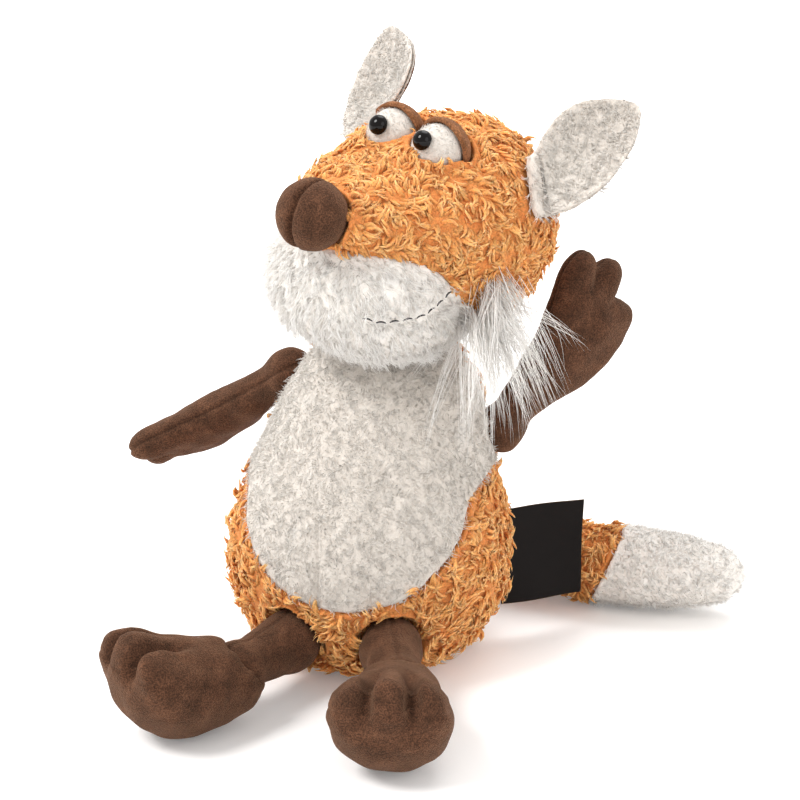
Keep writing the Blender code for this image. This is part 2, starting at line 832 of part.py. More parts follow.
def ear_frame(side):
    out = Vector((side * ear_spacing / 2, 0, ear_rise)).normalized() * ear_stand_off
    place = Matrix.Translation(Vector((side * ear_spacing / 2, ear_back_set, ear_rise)) + out)
    sweep = Matrix.Rotation(math.radians(-ear_sweep), 4, "X")
    lean = Matrix.Rotation(math.radians(side * ear_lean), 4, "Y")
    return head_matrix @ place @ sweep @ lean @ Matrix.Rotation(math.radians(side * ear_turn), 4, "Z")


def make_ear(name, side):
    """White front, brown back and the rounded root that sits in the head's seam."""
    half_gap = sewn_gap / 2
    ear_layer_mesh(f"{name}_ear_front", -ear_layer - half_gap, -half_gap, True, side, white_pile)
    back = ear_layer_mesh(f"{name}_ear_back", half_gap, ear_layer + half_gap, False, side, brown_velour)
    join_on(back, make_ear_root(f"{name}_ear_root", side, ear_root_radius, 0))
    return make_ear_root(f"{name}_ear_groove", side, clear_radius(ear_root_radius, ball_sides), joint_gap)


def make_ear_root(name, side, radius, end_room):
    """Round bar along the ear's foot, and with room added the groove that it lies in."""
    half = ear_half_width(0) * ear_width / 2 / math.cos(math.radians(ear_root_slant)) + end_room
    along = ear_frame(side) @ Matrix.Rotation(math.radians(90 + side * ear_root_slant), 4, "Y")
    return make_rod(name, radius, -half, half, along, ball_sides)


def make_head():
    skin = make_head_skin()
    muzzle = make_muzzle_skin()
    cover = offset_copy(skin, "head_cover", 0, orange_pile)
    inner = offset_copy(skin, "head_inner", -cover_thickness)
    filling = offset_copy(skin, "head_stuffing", -cover_thickness - sewn_gap, stuffing_fibre)
    muzzle_cover = offset_copy(muzzle, "muzzle_cover", 0, white_pile)
    muzzle_inner = offset_copy(muzzle, "muzzle_inner", -cover_thickness)
    muzzle_clear = offset_copy(muzzle, "muzzle_clearance", sewn_gap)
    muzzle_filling = offset_copy(muzzle, "muzzle_stuffing_part", -cover_thickness - sewn_gap)
    nose_skin = make_nose_skin()
    nose_clear = offset_copy(nose_skin, "nose_clearance", joint_gap)
    neck = socket("neck_socket", neck_place, neck_radius, neck_sides)
    eye_tools = []
    grooves = []
    for name, side in (("left", 1), ("right", -1)):
        eye_tools += make_eye(name, side)
        grooves.append(make_ear(name, side))
    cut(cover, inner, neck, muzzle_clear, nose_clear, *eye_tools, *grooves)
    cut(muzzle_cover, muzzle_inner, inner, neck, nose_clear)
    join_on(filling, muzzle_filling)
    cut(filling, neck, nose_clear, *eye_tools, *grooves)
    nose = offset_copy(nose_skin, "nose_cover", 0, brown_velour)
    nose_inner = offset_copy(nose_skin, "nose_inner", -velour_thickness)
    backwards = front_frame(nose_frame()) @ Matrix.Rotation(math.pi, 4, "X")
    nose_back = make_rod("nose_back", nose_back_share * nose_radius, 0, nose_radius + cut_overrun, backwards)
    cut(nose, nose_inner, nose_back)
    offset_copy(nose_skin, "nose_stuffing", -velour_thickness - sewn_gap, stuffing_fibre)
    head_clear = offset_copy(skin, "head_clearance", sewn_gap)
    for name, side in (("left", 1), ("right", -1)):
        cut(make_tuft(f"{name}_cheek_tuft", side), head_clear, muzzle_clear)
    make_mouth()


def make_tuft(name, side):
    """A lock of long pile that hangs straight down from the cheek."""
    root = head_matrix @ Vector((side * tuft_spacing / 2, -tuft_forward, -tuft_drop))
    fore = head_matrix.to_3x3() @ Vector((0, -1, 0))
    fore.z = 0
    fore.normalize()
    out = Vector((-fore.y, fore.x, 0)) * side
    rings = []
    for share, width, thick, drift in tuft_shares:
        centre = root + Vector((0, 0, -share * tuft_length)) + out * drift * tuft_length
        rings.append(oval(centre, fore, out, width * tuft_width / 2, thick * tuft_thickness / 2,
                          thick * tuft_thickness / 2, small_sides))
    top = root + Vector((0, 0, tuft_thickness / 2))
    tip = root + Vector((0, 0, -tuft_length)) + out * tuft_shares[-1][3] * tuft_length
    return loft(name, rings, top, tip, white_pile)


def make_mouth():
    """One black thread over the muzzle's left side."""
    frame = muzzle_frame()
    points = []
    steps = 14
    for step in range(steps + 1):
        share = step / steps
        round_angle = math.radians(mouth_from_angle + (mouth_to_angle - mouth_from_angle) * share)
        rise = math.radians(mouth_low_angle + mouth_lift_angle * share ** 2)
        level = Vector((math.sin(round_angle), -math.cos(round_angle), 0))
        direction = level * math.cos(rise) + Vector((0, 0, math.sin(rise)))
        point = muzzle_point(direction)
        points.append(frame @ (point + point.normalized() * (thread_radius + sewn_gap)))
    rings = []
    for index, point in enumerate(points):
        ahead = points[min(index + 1, steps)] - points[max(index - 1, 0)]
        turn = ahead.to_track_quat("Z", "Y").to_matrix()
        rings.append(round_ring(point, thread_radius, small_sides, turn))
    return loft("mouth_thread", rings, material=black_thread)


def limb_skin(name, start_rings, stations, tip, matrix, sides=limb_sides):
    """A ball root, then rings along the limb: a station is (along, bend, half width, half thickness)."""
    rings = list(start_rings)
    for along, bend, half_width, half_thickness in stations:
        centre = Vector((bend, 0, along))
        side = Vector((1, 0, 0))
        up = Vector((0, 1, 0))
        rings.append(oval(centre, side, up, half_width, half_thickness, half_thickness, sides))
    return loft(name, rings, end=tip, matrix=matrix)


def make_root_hole(name, ball_radius, matrix):
    """Rod that opens a root ball at its pole, where the limb is stuffed."""
    return make_rod(name, root_hole_share * ball_radius, -ball_radius - cut_overrun, 0, matrix)


def make_arm(name, matrix):
    neck_angle = 180 - math.degrees(math.asin(arm_neck_share))
    root = ball_rings(arm_ball_radius, root_pole_angle, neck_angle, ball_steps, limb_sides)
    stations = [
        (along * arm_length, bend * arm_length, width * arm_width / 2, thick * arm_thickness / 2)
        for along, bend, width, thick in arm_shares
    ]
    tip = Vector((arm_tip_shares[1] * arm_length, 0, arm_tip_shares[0] * arm_length))
    skin = limb_skin(f"{name}_arm_skin", root, stations, tip, matrix)
    cover = offset_copy(skin, f"{name}_arm_cover", 0, brown_velour)
    fingers = []
    for index, (along, bend, radius_share) in enumerate(finger_shares):
        place = Matrix.Translation((bend * arm_length, 0, along * arm_length))
        splay = Matrix.Rotation(math.radians(finger_splay_shares[index]), 4, "Y")
        radius = radius_share * arm_thickness
        radii = (radius, radius, radius * finger_stretch)
        fingers.append(globe(f"{name}_finger_{index}", radii, small_sides, matrix=matrix @ place @ splay))
    inner = offset_copy(skin, f"{name}_arm_inner", -velour_thickness)
    hole = make_root_hole(f"{name}_arm_hole", arm_ball_radius, matrix)
    join_on(cover, *fingers)
    cut(cover, inner, hole)
    offset_copy(skin, f"{name}_arm_stuffing", -velour_thickness - sewn_gap, stuffing_fibre)


def make_leg(name, matrix):
    """A sleeve with a ball at the hip and a smaller one in the foot."""
    hip_angle = 180 - math.degrees(math.asin(leg_radius / hip_ball_radius))
    ankle_angle = 180 - math.degrees(math.asin(ankle_neck_share * leg_radius / ankle_ball_radius))
    root = ball_rings(hip_ball_radius, root_pole_angle, hip_angle, ball_steps, limb_sides)
    end = []
    ankle = ball_rings(ankle_ball_radius, root_pole_angle, ankle_angle, ball_steps, limb_sides)
    for ring in reversed(ankle):
        end.append([Vector((point.x, point.y, leg_length - point.z)) for point in ring])
    tip = Vector((0, 0, leg_length + ankle_ball_radius))
    skin = loft(f"{name}_leg_skin", root + end, end=tip, matrix=matrix)
    cover = offset_copy(skin, f"{name}_leg_cover", 0, brown_velour)
    inner = offset_copy(skin, f"{name}_leg_inner", -velour_thickness)
    hole = make_root_hole(f"{name}_leg_hole", hip_ball_radius, matrix)
    cut(cover, inner, hole)
    offset_copy(skin, f"{name}_leg_stuffing", -velour_thickness - sewn_gap, stuffing_fibre)


def make_foot(name, ankle, matrix, leg_matrix):
    rings = []
    for along, rise, width, thick in foot_shares:
        centre = Vector((0, rise * foot_thickness, along * foot_length))
        half = thick * foot_thickness / 2
        half_width = width * foot_width / 2
        rings.append(oval(centre, Vector((1, 0, 0)), Vector((0, 1, 0)), half_width, half, half, ball_sides))
    heel = Vector((0, 0, foot_heel_share * foot_length))
    tip = Vector((0, foot_shares[-1][1] * foot_thickness, foot_tip_share * foot_length))
    skin = loft(f"{name}_foot_skin", rings, heel, tip, matrix=matrix)
    cover = offset_copy(skin, f"{name}_foot_cover", 0, brown_velour)
    inner = offset_copy(skin, f"{name}_foot_inner", -velour_thickness)
    filling = offset_copy(skin, f"{name}_foot_stuffing", -velour_thickness - sewn_gap, stuffing_fibre)
    toes = []
    for index, (along, side, radius_share) in enumerate(toe_shares):
        place = Matrix.Translation((side * foot_width, toe_rise_share * foot_thickness, along * foot_length))
        radius = radius_share * foot_width
        radii = (radius, radius * toe_stretch, radius * toe_stretch)
        toes.append(globe(f"{name}_toe_{index}", radii, small_sides, matrix=matrix @ place))
    ankle_socket = socket(f"{name}_ankle_socket", ankle, ankle_ball_radius)
    mouth = make_ankle_mouth(f"{name}_ankle_mouth", leg_matrix)
    join_on(cover, *toes)
    cut(cover, inner, ankle_socket, mouth)
    cut(filling, ankle_socket, mouth)


def make_ankle_mouth(name, leg_matrix):
    """Everything behind the ankle, square to the leg."""
    size = 2 * foot_length
    mesh_data = bmesh.new()
    bmesh.ops.create_cube(mesh_data, size=size)
    drop = Vector((0, 0, leg_length - ankle_set_back - size / 2))
    bmesh.ops.translate(mesh_data, vec=drop, verts=mesh_data.verts)
    return finish_object(name, mesh_data, matrix=leg_matrix)


def make_limbs():
    make_arm("left", aim(left_shoulder, left_arm_azimuth, left_arm_elevation, left_arm_twist))
    make_arm("right", aim(right_shoulder, right_arm_azimuth, right_arm_elevation, right_arm_twist))
    legs = (
        ("left", left_hip, left_leg_azimuth, left_foot_azimuth, left_foot_elevation, left_foot_twist),
        ("right", right_hip, right_leg_azimuth, right_foot_azimuth, right_foot_elevation, right_foot_twist),
    )
    for name, hip, leg_azimuth, foot_azimuth, foot_elevation, foot_twist in legs:
        leg_matrix = aim(hip, leg_azimuth, 0)
        ankle = leg_matrix @ Vector((0, 0, leg_length))
        make_leg(name, leg_matrix)
        make_foot(name, ankle, aim(ankle, foot_azimuth, foot_elevation, foot_twist + 90), leg_matrix)


def make_tail():
    matrix = Matrix.Translation(tail_root)
    rings = []
    stations = [(0, 0, tail_neck_share)] + [tuple(row) for row in tail_shares]
    curve = smooth_stations([(along, side, 0, radius) for along, side, radius in stations], 2)
    tangent = (Vector(curve[1][:3]) - Vector(curve[0][:3])).normalized()
    turn = tangent.to_track_quat("Z", "Y").to_matrix().to_4x4()
    neck_angle = 180 - math.degrees(math.asin(stations[0][2] * tail_radius / tail_ball_radius))
    for ring in ball_rings(tail_ball_radius, root_pole_angle, neck_angle, ball_steps, limb_sides):
        rings.append([turn @ point for point in ring])
    for index in range(2, len(curve)):
        centre = Vector(curve[index][:3]) * tail_length
        ahead = Vector(curve[min(index + 1, len(curve) - 1)][:3])
        behind = Vector(curve[index - 1][:3])
        frame = (ahead - behind).to_track_quat("Z", "Y").to_matrix()
        radius = curve[index][3] * tail_radius
        rings.append(round_ring(centre, radius, limb_sides, frame))
    tip = Vector((tail_tip_shares[0] * tail_length, tail_tip_shares[1] * tail_length, 0))
    skin = loft("tail_skin", rings, end=tip, matrix=matrix)
    base = offset_copy(skin, "tail_base_cover", 0, orange_pile)
    end = offset_copy(skin, "tail_tip_cover", 0, white_pile)
    inner = offset_copy(skin, "tail_inner", -cover_thickness)
    hole = make_root_hole("tail_hole", tail_ball_radius, matrix @ turn)
    cut(base, inner, hole, make_tail_block("tail_seam_clearance", -sewn_gap))
    cut(end, inner)
    keep_inside(end, make_tail_block("tail_seam", 0))
    offset_copy(skin, "tail_stuffing", -cover_thickness - sewn_gap, stuffing_fibre)


def make_tail_block(name, shift):
    """Everything past the tail's seam."""
    size = tail_length + cut_overrun
    mesh_data = bmesh.new()
    bmesh.ops.create_cube(mesh_data, size=size)
    bmesh.ops.translate(mesh_data, vec=Vector((size / 2 + shift, 0, 0)), verts=mesh_data.verts)
    seam = Matrix.Translation(Vector(tail_root) + Vector((tail_seam_share * tail_length, 0, 0)))
    slant = Matrix.Rotation(math.radians(tail_seam_slant), 4, "Y")
    return finish_object(name, mesh_data, matrix=seam @ slant)


make_body()
make_neck_stuffing()
made_before = set(bpy.data.objects)
make_head()
for piece in set(bpy.data.objects) - made_before:
    if not piece.hide_render and "_ear_" not in piece.name:
        set_origin(piece, neck_place)
make_limbs()
make_tail()
make_label()
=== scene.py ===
import math
import random

import bmesh
import bpy
import numpy as np
from mathutils import Matrix, Vector, noise
from mathutils.bvhtree import BVHTree


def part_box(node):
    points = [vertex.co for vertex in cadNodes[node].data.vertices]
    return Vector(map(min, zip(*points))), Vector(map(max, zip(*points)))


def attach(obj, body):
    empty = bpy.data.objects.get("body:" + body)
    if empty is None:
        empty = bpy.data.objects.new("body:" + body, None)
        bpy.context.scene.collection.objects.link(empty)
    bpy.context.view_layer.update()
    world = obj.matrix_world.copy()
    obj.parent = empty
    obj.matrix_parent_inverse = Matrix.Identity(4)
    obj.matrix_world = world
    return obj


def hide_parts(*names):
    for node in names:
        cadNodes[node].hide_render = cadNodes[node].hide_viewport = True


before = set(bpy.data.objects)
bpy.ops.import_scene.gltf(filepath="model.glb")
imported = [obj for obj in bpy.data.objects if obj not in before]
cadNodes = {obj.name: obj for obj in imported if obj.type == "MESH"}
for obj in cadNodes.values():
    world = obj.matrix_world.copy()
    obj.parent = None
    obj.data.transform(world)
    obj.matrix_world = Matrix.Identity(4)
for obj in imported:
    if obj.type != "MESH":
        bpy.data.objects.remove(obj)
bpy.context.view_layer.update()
sides = {"left": 1, "right": -1}


# colours and materials

def rgb(red, green, blue):
    # a colour as it shows on screen, 0 to 255, made linear
    shares = [value / 255 for value in (red, green, blue)]
    return tuple(s / 12.92 if s <= .04045 else ((s + .055) / 1.055) ** 2.4 for s in shares) + (1,)


def socketOf(sockets, key):
    # by place or name, or by identifier where a node has several sockets of one name
    if isinstance(key, int) or key in sockets:
        return sockets[key]
    return next(socket for socket in sockets if socket.identifier == key)


def addNode(tree, kind, inputs=(), **settings):
    # an input gets a value, or a link from another node's output
    node = tree.nodes.new(kind)
    for name, value in settings.items():
        setattr(node, name, value)
    for key, value in dict(inputs).items():
        socket = socketOf(node.inputs, key)
        if isinstance(value, bpy.types.NodeSocket):
            tree.links.new(value, socket)
        else:
            socket.default_value = value
    return node


def newMaterial(name, look):
    finish = bpy.data.materials.new(name)
    finish.use_nodes = True
    tree = finish.node_tree
    shader = tree.nodes["Principled BSDF"]
    for socket, value in look.items():
        shader.inputs[socket].default_value = value
    return finish, tree, shader


def colourRamp(tree, stops, factor):
    ramp = addNode(tree, "ShaderNodeValToRGB", {"Fac": factor})
    while len(ramp.color_ramp.elements) < len(stops):
        ramp.color_ramp.elements.new(.5)
    for element, (place, colour) in zip(ramp.color_ramp.elements, stops):
        element.position = place
        element.color = rgb(*colour)
    return ramp.outputs["Color"]


def noiseFrom(tree, scale, detail, roughness=.5):
    place = addNode(tree, "ShaderNodeTexCoord").outputs["Object"]
    return addNode(tree, "ShaderNodeTexNoise", {
        "Vector": place, "Scale": scale, "Detail": detail, "Roughness": roughness,
    }).outputs["Fac"]


def attributeOf(tree, name):
    return addNode(tree, "ShaderNodeAttribute", attribute_name=name).outputs["Fac"]


def toneFrom(tree, value, low, high, start=0, end=1):
    # a brightness between low and high from a value between start and end
    return addNode(
        tree, "ShaderNodeMapRange",
        {"Value": value, "From Min": start, "From Max": end, "To Min": low, "To Max": high},
    ).outputs["Result"]


def timesTones(tree, colour, tones):
    # the colour times a brightness for each value in the list
    for value, between in tones:
        scaled = {0: colour, "Scale": toneFrom(tree, value, *between)}
        colour = addNode(tree, "ShaderNodeVectorMath", scaled, operation="SCALE").outputs[0]
    return colour


def finishWith(tree, shader, colour, height, strength, distance):
    # gives the shader its colour and its fine relief
    tree.links.new(colour, shader.inputs["Base Color"])
    bump = addNode(tree, "ShaderNodeBump", {"Height": height, "Strength": strength, "Distance": distance})
    tree.links.new(bump.outputs["Normal"], shader.inputs["Normal"])


strandGrain = {"noise": (1000, 3, .65), "between": (.40, .60), "bump": (.5, .0010), "patches": (3, .6)}


def pileMaterial(name, stops, look, patchScale, patch, tint, streak, strand):
    # colour runs from each strand's root to its tip, with painted shade at the root and on the bare skin
    # between locks and a painted highlight at the tip, in patches, and differs a little from lock to lock
    finish, tree, shader = newMaterial(name, look)
    grain = noiseFrom(tree, *strandGrain["noise"])
    colour = timesTones(tree, colourRamp(tree, stops, attributeOf(tree, "tip")), (
        (noiseFrom(tree, patchScale, *strandGrain["patches"]), patch), (attributeOf(tree, "tint"), tint),
        (grain, (*streak, *strandGrain["between"])), (attributeOf(tree, "shade"), strand),
    ))
    finishWith(tree, shader, colour, grain, *strandGrain["bump"])
    return finish


# the seam tones darken the cloth in its grooves as painted shade
velourGrain = {
    "nap": (4, .62), "noise": (1500, 2, .6), "tones": (.52, 1.5, .38, .62), "grooveShadeTones": (1, .58),
    "bump": (.8, .0012),
}


def velourMaterial(name, stops, look, napScale):
    # a patchy nap with a fine grain on it, and painted shade that darkens it along its pressed seams and
    # creases
    finish, tree, shader = newMaterial(name, look)
    nap = noiseFrom(tree, napScale, *velourGrain["nap"])
    grain = noiseFrom(tree, *velourGrain["noise"])
    colour = timesTones(tree, colourRamp(tree, stops, nap), (
        (grain, velourGrain["tones"]), (attributeOf(tree, "seam"), velourGrain["grooveShadeTones"]),
    ))
    finishWith(tree, shader, colour, grain, *velourGrain["bump"])
    return finish


def satinMaterial(name, look, weave):
    # fine warp and weft threads over the label's own flat coordinates
    finish, tree, shader = newMaterial(name, look)
    place = addNode(tree, "ShaderNodeUVMap", uv_map="cloth").outputs["UV"]
    warp, weft = (
        addNode(
            tree, "ShaderNodeTexWave", {"Vector": place, "Scale": count, "Distortion": .3},
            wave_type="BANDS", bands_direction=direction,
        ).outputs["Fac"]
        for direction, count in (("X", weave["across"]), ("Y", weave["along"]))
    )
    both = addNode(tree, "ShaderNodeMath", {0: warp, 1: weft}, operation="ADD").outputs[0]
    colour = colourRamp(tree, weave["stops"], attributeOf(tree, "selvedge"))
    colour = timesTones(tree, colour, ((both, weave["tones"]),))
    finishWith(tree, shader, colour, both, *weave["bump"])
    return finish


def fleckedMaterial(name, look, stops, noiseOfFlecks, bump):
    finish, tree, shader = newMaterial(name, look)
    flecks = noiseFrom(tree, *noiseOfFlecks)
    finishWith(tree, shader, colourRamp(tree, stops, flecks), flecks, *bump)
    return finish


fibreLook = {
    "Roughness": .8, "Specular IOR Level": .15, "Sheen Weight": .2, "Sheen Roughness": .4,
    "Subsurface Weight": .4, "Subsurface Scale": .0018,
}
orangePile = pileMaterial(
    "orangeCurlyPile",
    # the root colour, also on the bare skin between locks, is painted shade deep in the pile; the pale tips
    # are a painted highlight
    ((0, (212, 134, 74)), (.3, (226, 150, 85)), (.65, (243, 174, 108)), (1, (253, 202, 142))),
    dict(fibreLook, **{"Sheen Tint": rgb(255, 214, 170), "Subsurface Radius": (1, .6, .35)}),
    45, (.84, 1.12), (.90, 1.08), (.80, 1.14), (1.06, .88),
)
whiteFleece = pileMaterial(
    "whiteFleece",
    # the greyer root colour, also on the bare skin, is painted shade deep in the pile; the tips are paler
    ((0, (208, 200, 191)), (.4, (217, 210, 201)), (1, (234, 228, 219))),
    dict(fibreLook, **{"Sheen Tint": rgb(255, 252, 246), "Subsurface Radius": (1, .92, .85)}),
    60, (.95, 1.04), (.97, 1.03), (.95, 1.04), (1.02, .96),
)
whitePile = pileMaterial(
    "whitePile",
    # the greyer root colour, also on the bare skin, is painted shade deep in the pile; the tips are paler
    ((0, (236, 230, 223)), (.4, (243, 239, 233)), (1, (252, 250, 246))),
    dict(fibreLook, **{"Sheen Tint": rgb(255, 252, 246), "Subsurface Radius": (1, .92, .85)}),
    60, (.96, 1.03), (.97, 1.03), (.96, 1.03), (1.02, .96),
)
velourLook = {
    "Roughness": .8, "Specular IOR Level": .12, "Sheen Weight": .3, "Sheen Roughness": .4,
    "Sheen Tint": rgb(216, 170, 136),
}
brownVelour = velourMaterial(
    "brownVelour", ((.3, (62, 40, 27)), (.5, (77, 50, 35)), (.72, (96, 64, 46))), velourLook, 120,
)
tanVelour = velourMaterial(
    "tanVelour", ((.3, (108, 68, 41)), (.5, (127, 82, 52)), (.72, (148, 100, 67))), velourLook, 140,
)
stuffingFibre = velourMaterial(
    "stuffingFibre", ((.3, (214, 212, 206)), (.7, (244, 243, 240))), {"Roughness": .9}, 240,
)
blackGloss = newMaterial(
    "blackGlossPlastic",
    {"Base Color": rgb(10, 6, 5), "Roughness": .03, "Specular IOR Level": .18},
)[0]
blackThread = fleckedMaterial(
    "blackThread", {"Roughness": .6}, ((.3, (22, 20, 20)), (.7, (48.4, 44, 44))), (900, 2), (.3, .0002),
)
blackSatin = satinMaterial("blackSatin", {"Roughness": .36, "Specular IOR Level": .08}, {
    "across": 62, "along": 75, "stops": ((0, (17, 13, 12)), (.75, (20, 15, 13)), (1, (96, 74, 50))),
    "tones": (.7, 1.15), "bump": (.3, .0002),
})
whitePlastic = fleckedMaterial(
    "whitePlastic", {"Roughness": .4}, ((.3, (228, 227, 222)), (.7, (238, 237, 232))), (300, 3), (.08, .0003),
)
print("materials made")


# skins from the frame's nodes

skinRules = {
    "mergeGap": 1e-5,
    "bevel": 1,        # rounding of the CAD facets before the even mesh is made
    "coverReach": .006, "coverBack": 6, "coverFacing": -.6,
    "lumps": ((1, 0, 1), (2.6, 7, 2), (6, 11, 2.5)),        # finer, shifted and lower each time
    "sink": (.0006, .0050),
}


def linkObject(name, mesh):
    obj = bpy.data.objects.new(name, mesh)
    bpy.context.scene.collection.objects.link(obj)
    return obj


def evaluated(obj, name):
    # the modified mesh as a plain one, and the object that carried the modifiers is dropped
    bpy.context.view_layer.update()
    graph = bpy.context.evaluated_depsgraph_get()
    mesh = bpy.data.meshes.new_from_object(
        obj.evaluated_get(graph), preserve_all_data_layers=True, depsgraph=graph
    )
    mesh.name = name
    bpy.data.objects.remove(obj)
    return mesh


def joinedNodes(names):
    bm = bmesh.new()
    for name in names:
        bm.from_mesh(cadNodes[name].data)
    return bm


def cadCopy(names):
    bm = joinedNodes(names)
    bmesh.ops.remove_doubles(bm, verts=bm.verts, dist=skinRules["mergeGap"])
    mesh = bpy.data.meshes.new("copy")
    bm.to_mesh(mesh)
    bm.free()
    mesh.materials.clear()
    return mesh


def surfaceOf(names):
    bm = joinedNodes(names)
    tree = BVHTree.FromBMesh(bm)
    bm.free()
    return tree


def distancesTo(points, names):
    tree = surfaceOf(names)
    return np.array([tree.find_nearest(Vector(point))[3] for point in points])


def nearestOn(points, names):
    tree = surfaceOf(names)
    return np.array([tuple(tree.find_nearest(Vector(point))[0]) for point in points])


def coveredBy(points, normals, names):
    # whether the inner side of a neighbouring cloth lies over each point, seen along the point's own normal
    tree = surfaceOf(names)
    reach = skinRules["coverReach"]
    covered = []
    for point, normal in zip(points, normals):
        outward = Vector(normal)
        start = Vector(point) - outward * reach / skinRules["coverBack"]
        _, facing, _, _ = tree.ray_cast(start, outward, reach)
        covered.append(facing is not None and facing.dot(outward) < skinRules["coverFacing"])
    return np.array(covered)


def largestPart(mesh):
    # leaves out the small closed pockets that the even mesh can hold inside
    bm = bmesh.new()
    bm.from_mesh(mesh)
    bm.verts.ensure_lookup_table()
    seen = [False] * len(bm.verts)
    parts = []
    for vert in bm.verts:
        if seen[vert.index]:
            continue
        seen[vert.index] = True
        part, front = [], [vert]
        while front:
            current = front.pop()
            part.append(current)
            for edge in current.link_edges:
                other = edge.other_vert(current)
                if not seen[other.index]:
                    seen[other.index] = True
                    front.append(other)
        parts.append(part)
    parts.sort(key=len)
    for part in parts[:-1]:
        bmesh.ops.delete(bm, geom=part, context="VERTS")
    bm.to_mesh(mesh)
    bm.free()


def evenSkin(name, names, voxel, smooth, refine=0):
    obj = linkObject(name + "Draft", cadCopy(names))
    rounding = obj.modifiers.new("rounding", "SUBSURF")
    rounding.levels = rounding.render_levels = skinRules["bevel"]
    even = obj.modifiers.new("even", "REMESH")
    even.mode = "VOXEL"
    even.voxel_size = voxel
    even.use_smooth_shade = True
    soften = obj.modifiers.new("soften", "SMOOTH")
    soften.factor = .5
    soften.iterations = smooth
    if refine:
        finer = obj.modifiers.new("finer", "SUBSURF")
        finer.levels = finer.render_levels = refine
    mesh = evaluated(obj, name)
    largestPart(mesh)
    return mesh


def pointsOf(mesh):
    points = np.empty(len(mesh.vertices) * 3)
    mesh.vertices.foreach_get("co", points)
    return points.reshape(-1, 3)


def normalsOf(mesh):
    normals = np.empty(len(mesh.vertices) * 3)
    mesh.vertex_normals.foreach_get("vector", normals)
    return normals.reshape(-1, 3)


def setPoints(mesh, points):
    mesh.vertices.foreach_set("co", points.ravel())
    mesh.update()


def noiseAt(points, size, shift=0):
    place = Vector((shift, shift, shift))
    return np.array([noise.noise(Vector(point) / size + place) for point in points])


def smoothStep(values, start, end):
    share = np.clip((values - start) / (end - start), 0, 1)
    return share * share * (3 - 2 * share)


def setAttribute(mesh, name, values):
    layer = mesh.attributes.get(name) or mesh.attributes.new(name, "FLOAT", "POINT")
    layer.data.foreach_set("value", np.asarray(values, np.float32))


# strands and locks

def addStrand(parts, path, radii, sidesOfStrand, flat=1.0, shade=0):
    # a closed tapered tube along a path; the tip attribute runs from 0 at its root to 1 at its end,
    # and the shade is the same all along it
    points, faces, tips, shades = parts
    start = len(points)
    previous = Vector((0, 1, 0))
    count = len(path) - 1
    for index in range(count):
        ahead = (path[index + 1] - path[max(0, index - 1)]).normalized()
        across = (previous - ahead * previous.dot(ahead)).normalized()
        if across.length < .5:
            across = ahead.orthogonal().normalized()
        previous = across
        up = ahead.cross(across)
        for corner in range(sidesOfStrand):
            angle = 2 * math.pi * corner / sidesOfStrand
            offset = across * math.cos(angle) * radii[index] + up * math.sin(angle) * radii[index] * flat
            points.append(path[index] + offset)
            tips.append(index / count)
            shades.append(shade)
    points.append(path[-1])
    tips.append(1)
    shades.append(shade)
    last = len(points) - 1
    for index in range(count - 1):
        for corner in range(sidesOfStrand):
            a = start + index * sidesOfStrand + corner
            b = start + index * sidesOfStrand + (corner + 1) % sidesOfStrand
            faces.append((a, b, b + sidesOfStrand, a + sidesOfStrand))
    ring = start + (count - 1) * sidesOfStrand
    for corner in range(sidesOfStrand):
        faces.append((ring + corner, ring + (corner + 1) % sidesOfStrand, last))
    faces.append(tuple(start + corner for corner in reversed(range(sidesOfStrand))))


def meshOf(name, parts):
    points, faces, tips, shades = parts
    mesh = bpy.data.meshes.new(name)
    mesh.from_pydata([tuple(point) for point in points], [], faces)
    mesh.update()
    setAttribute(mesh, "tip", tips)
    setAttribute(mesh, "shade", shades)
    mesh.polygons.foreach_set("use_smooth", [True] * len(mesh.polygons))
    return mesh


def lockCurl(chooser, rules):
    # the middle line of one lock: it rises from its root and curls over towards +X
    lean = rules["lean"] * chooser.uniform(.75, 1.25)
    heading = chooser.uniform(-1, 1) * rules["fan"]
    bend = rules["bend"] * chooser.uniform(.75, 1.25) / rules["steps"]
    swerve = chooser.uniform(-1, 1) * rules["swerve"] / rules["steps"]
    length = rules["length"] * chooser.uniform(.85, 1.12) / rules["steps"]
    curl = [Vector((0, 0, 0))]
    for _ in range(rules["steps"]):
        level = Vector((math.cos(heading), math.sin(heading), 0))
        curl.append(curl[-1] + (level * math.sin(lean) + Vector((0, 0, math.cos(lean)))) * length)
        lean += bend
        heading += swerve
    return curl


def makeLocks(name, rules):
    # a few locks; the strands of one share its curl, draw together at the tip and stray a little
    chooser = random.Random(rules["seed"])
    group = bpy.data.collections.new(name)
    for variant in range(rules["variants"]):
        parts = ([], [], [], [])
        curl = lockCurl(chooser, rules)
        for index in range(rules["bundles"] + rules["strands"]):
            thick = index < rules["bundles"]
            width = rules["bundleWidth"] if thick else rules["width"]
            turn = chooser.uniform(0, 2 * math.pi)
            reach = math.sqrt(chooser.uniform(0, 1)) * rules["spread"]
            offset = Vector((math.cos(turn), math.sin(turn), 0)) * reach
            stretch = chooser.uniform(.75, 1.12)
            stray = Vector([chooser.gauss(0, 1) for _ in range(3)]) * rules["stray"]
            path, radii = [], []
            for step, point in enumerate(curl):
                share = step / rules["steps"]
                place = point * stretch + offset * (1 - rules["drawn"] * share) + stray * share * share
                path.append(place - Vector((0, 0, rules["sunk"])))
                radii.append(width * (1 - share ** rules["taper"]))
            if thick:
                addStrand(parts, path, radii, rules["bundleSides"], rules["flat"], chooser.random())
            else:
                addStrand(parts, path, radii, 3, 1, chooser.random())
        group.objects.link(bpy.data.objects.new(f"{name}{variant}", meshOf(f"{name}{variant}", parts)))
    return group


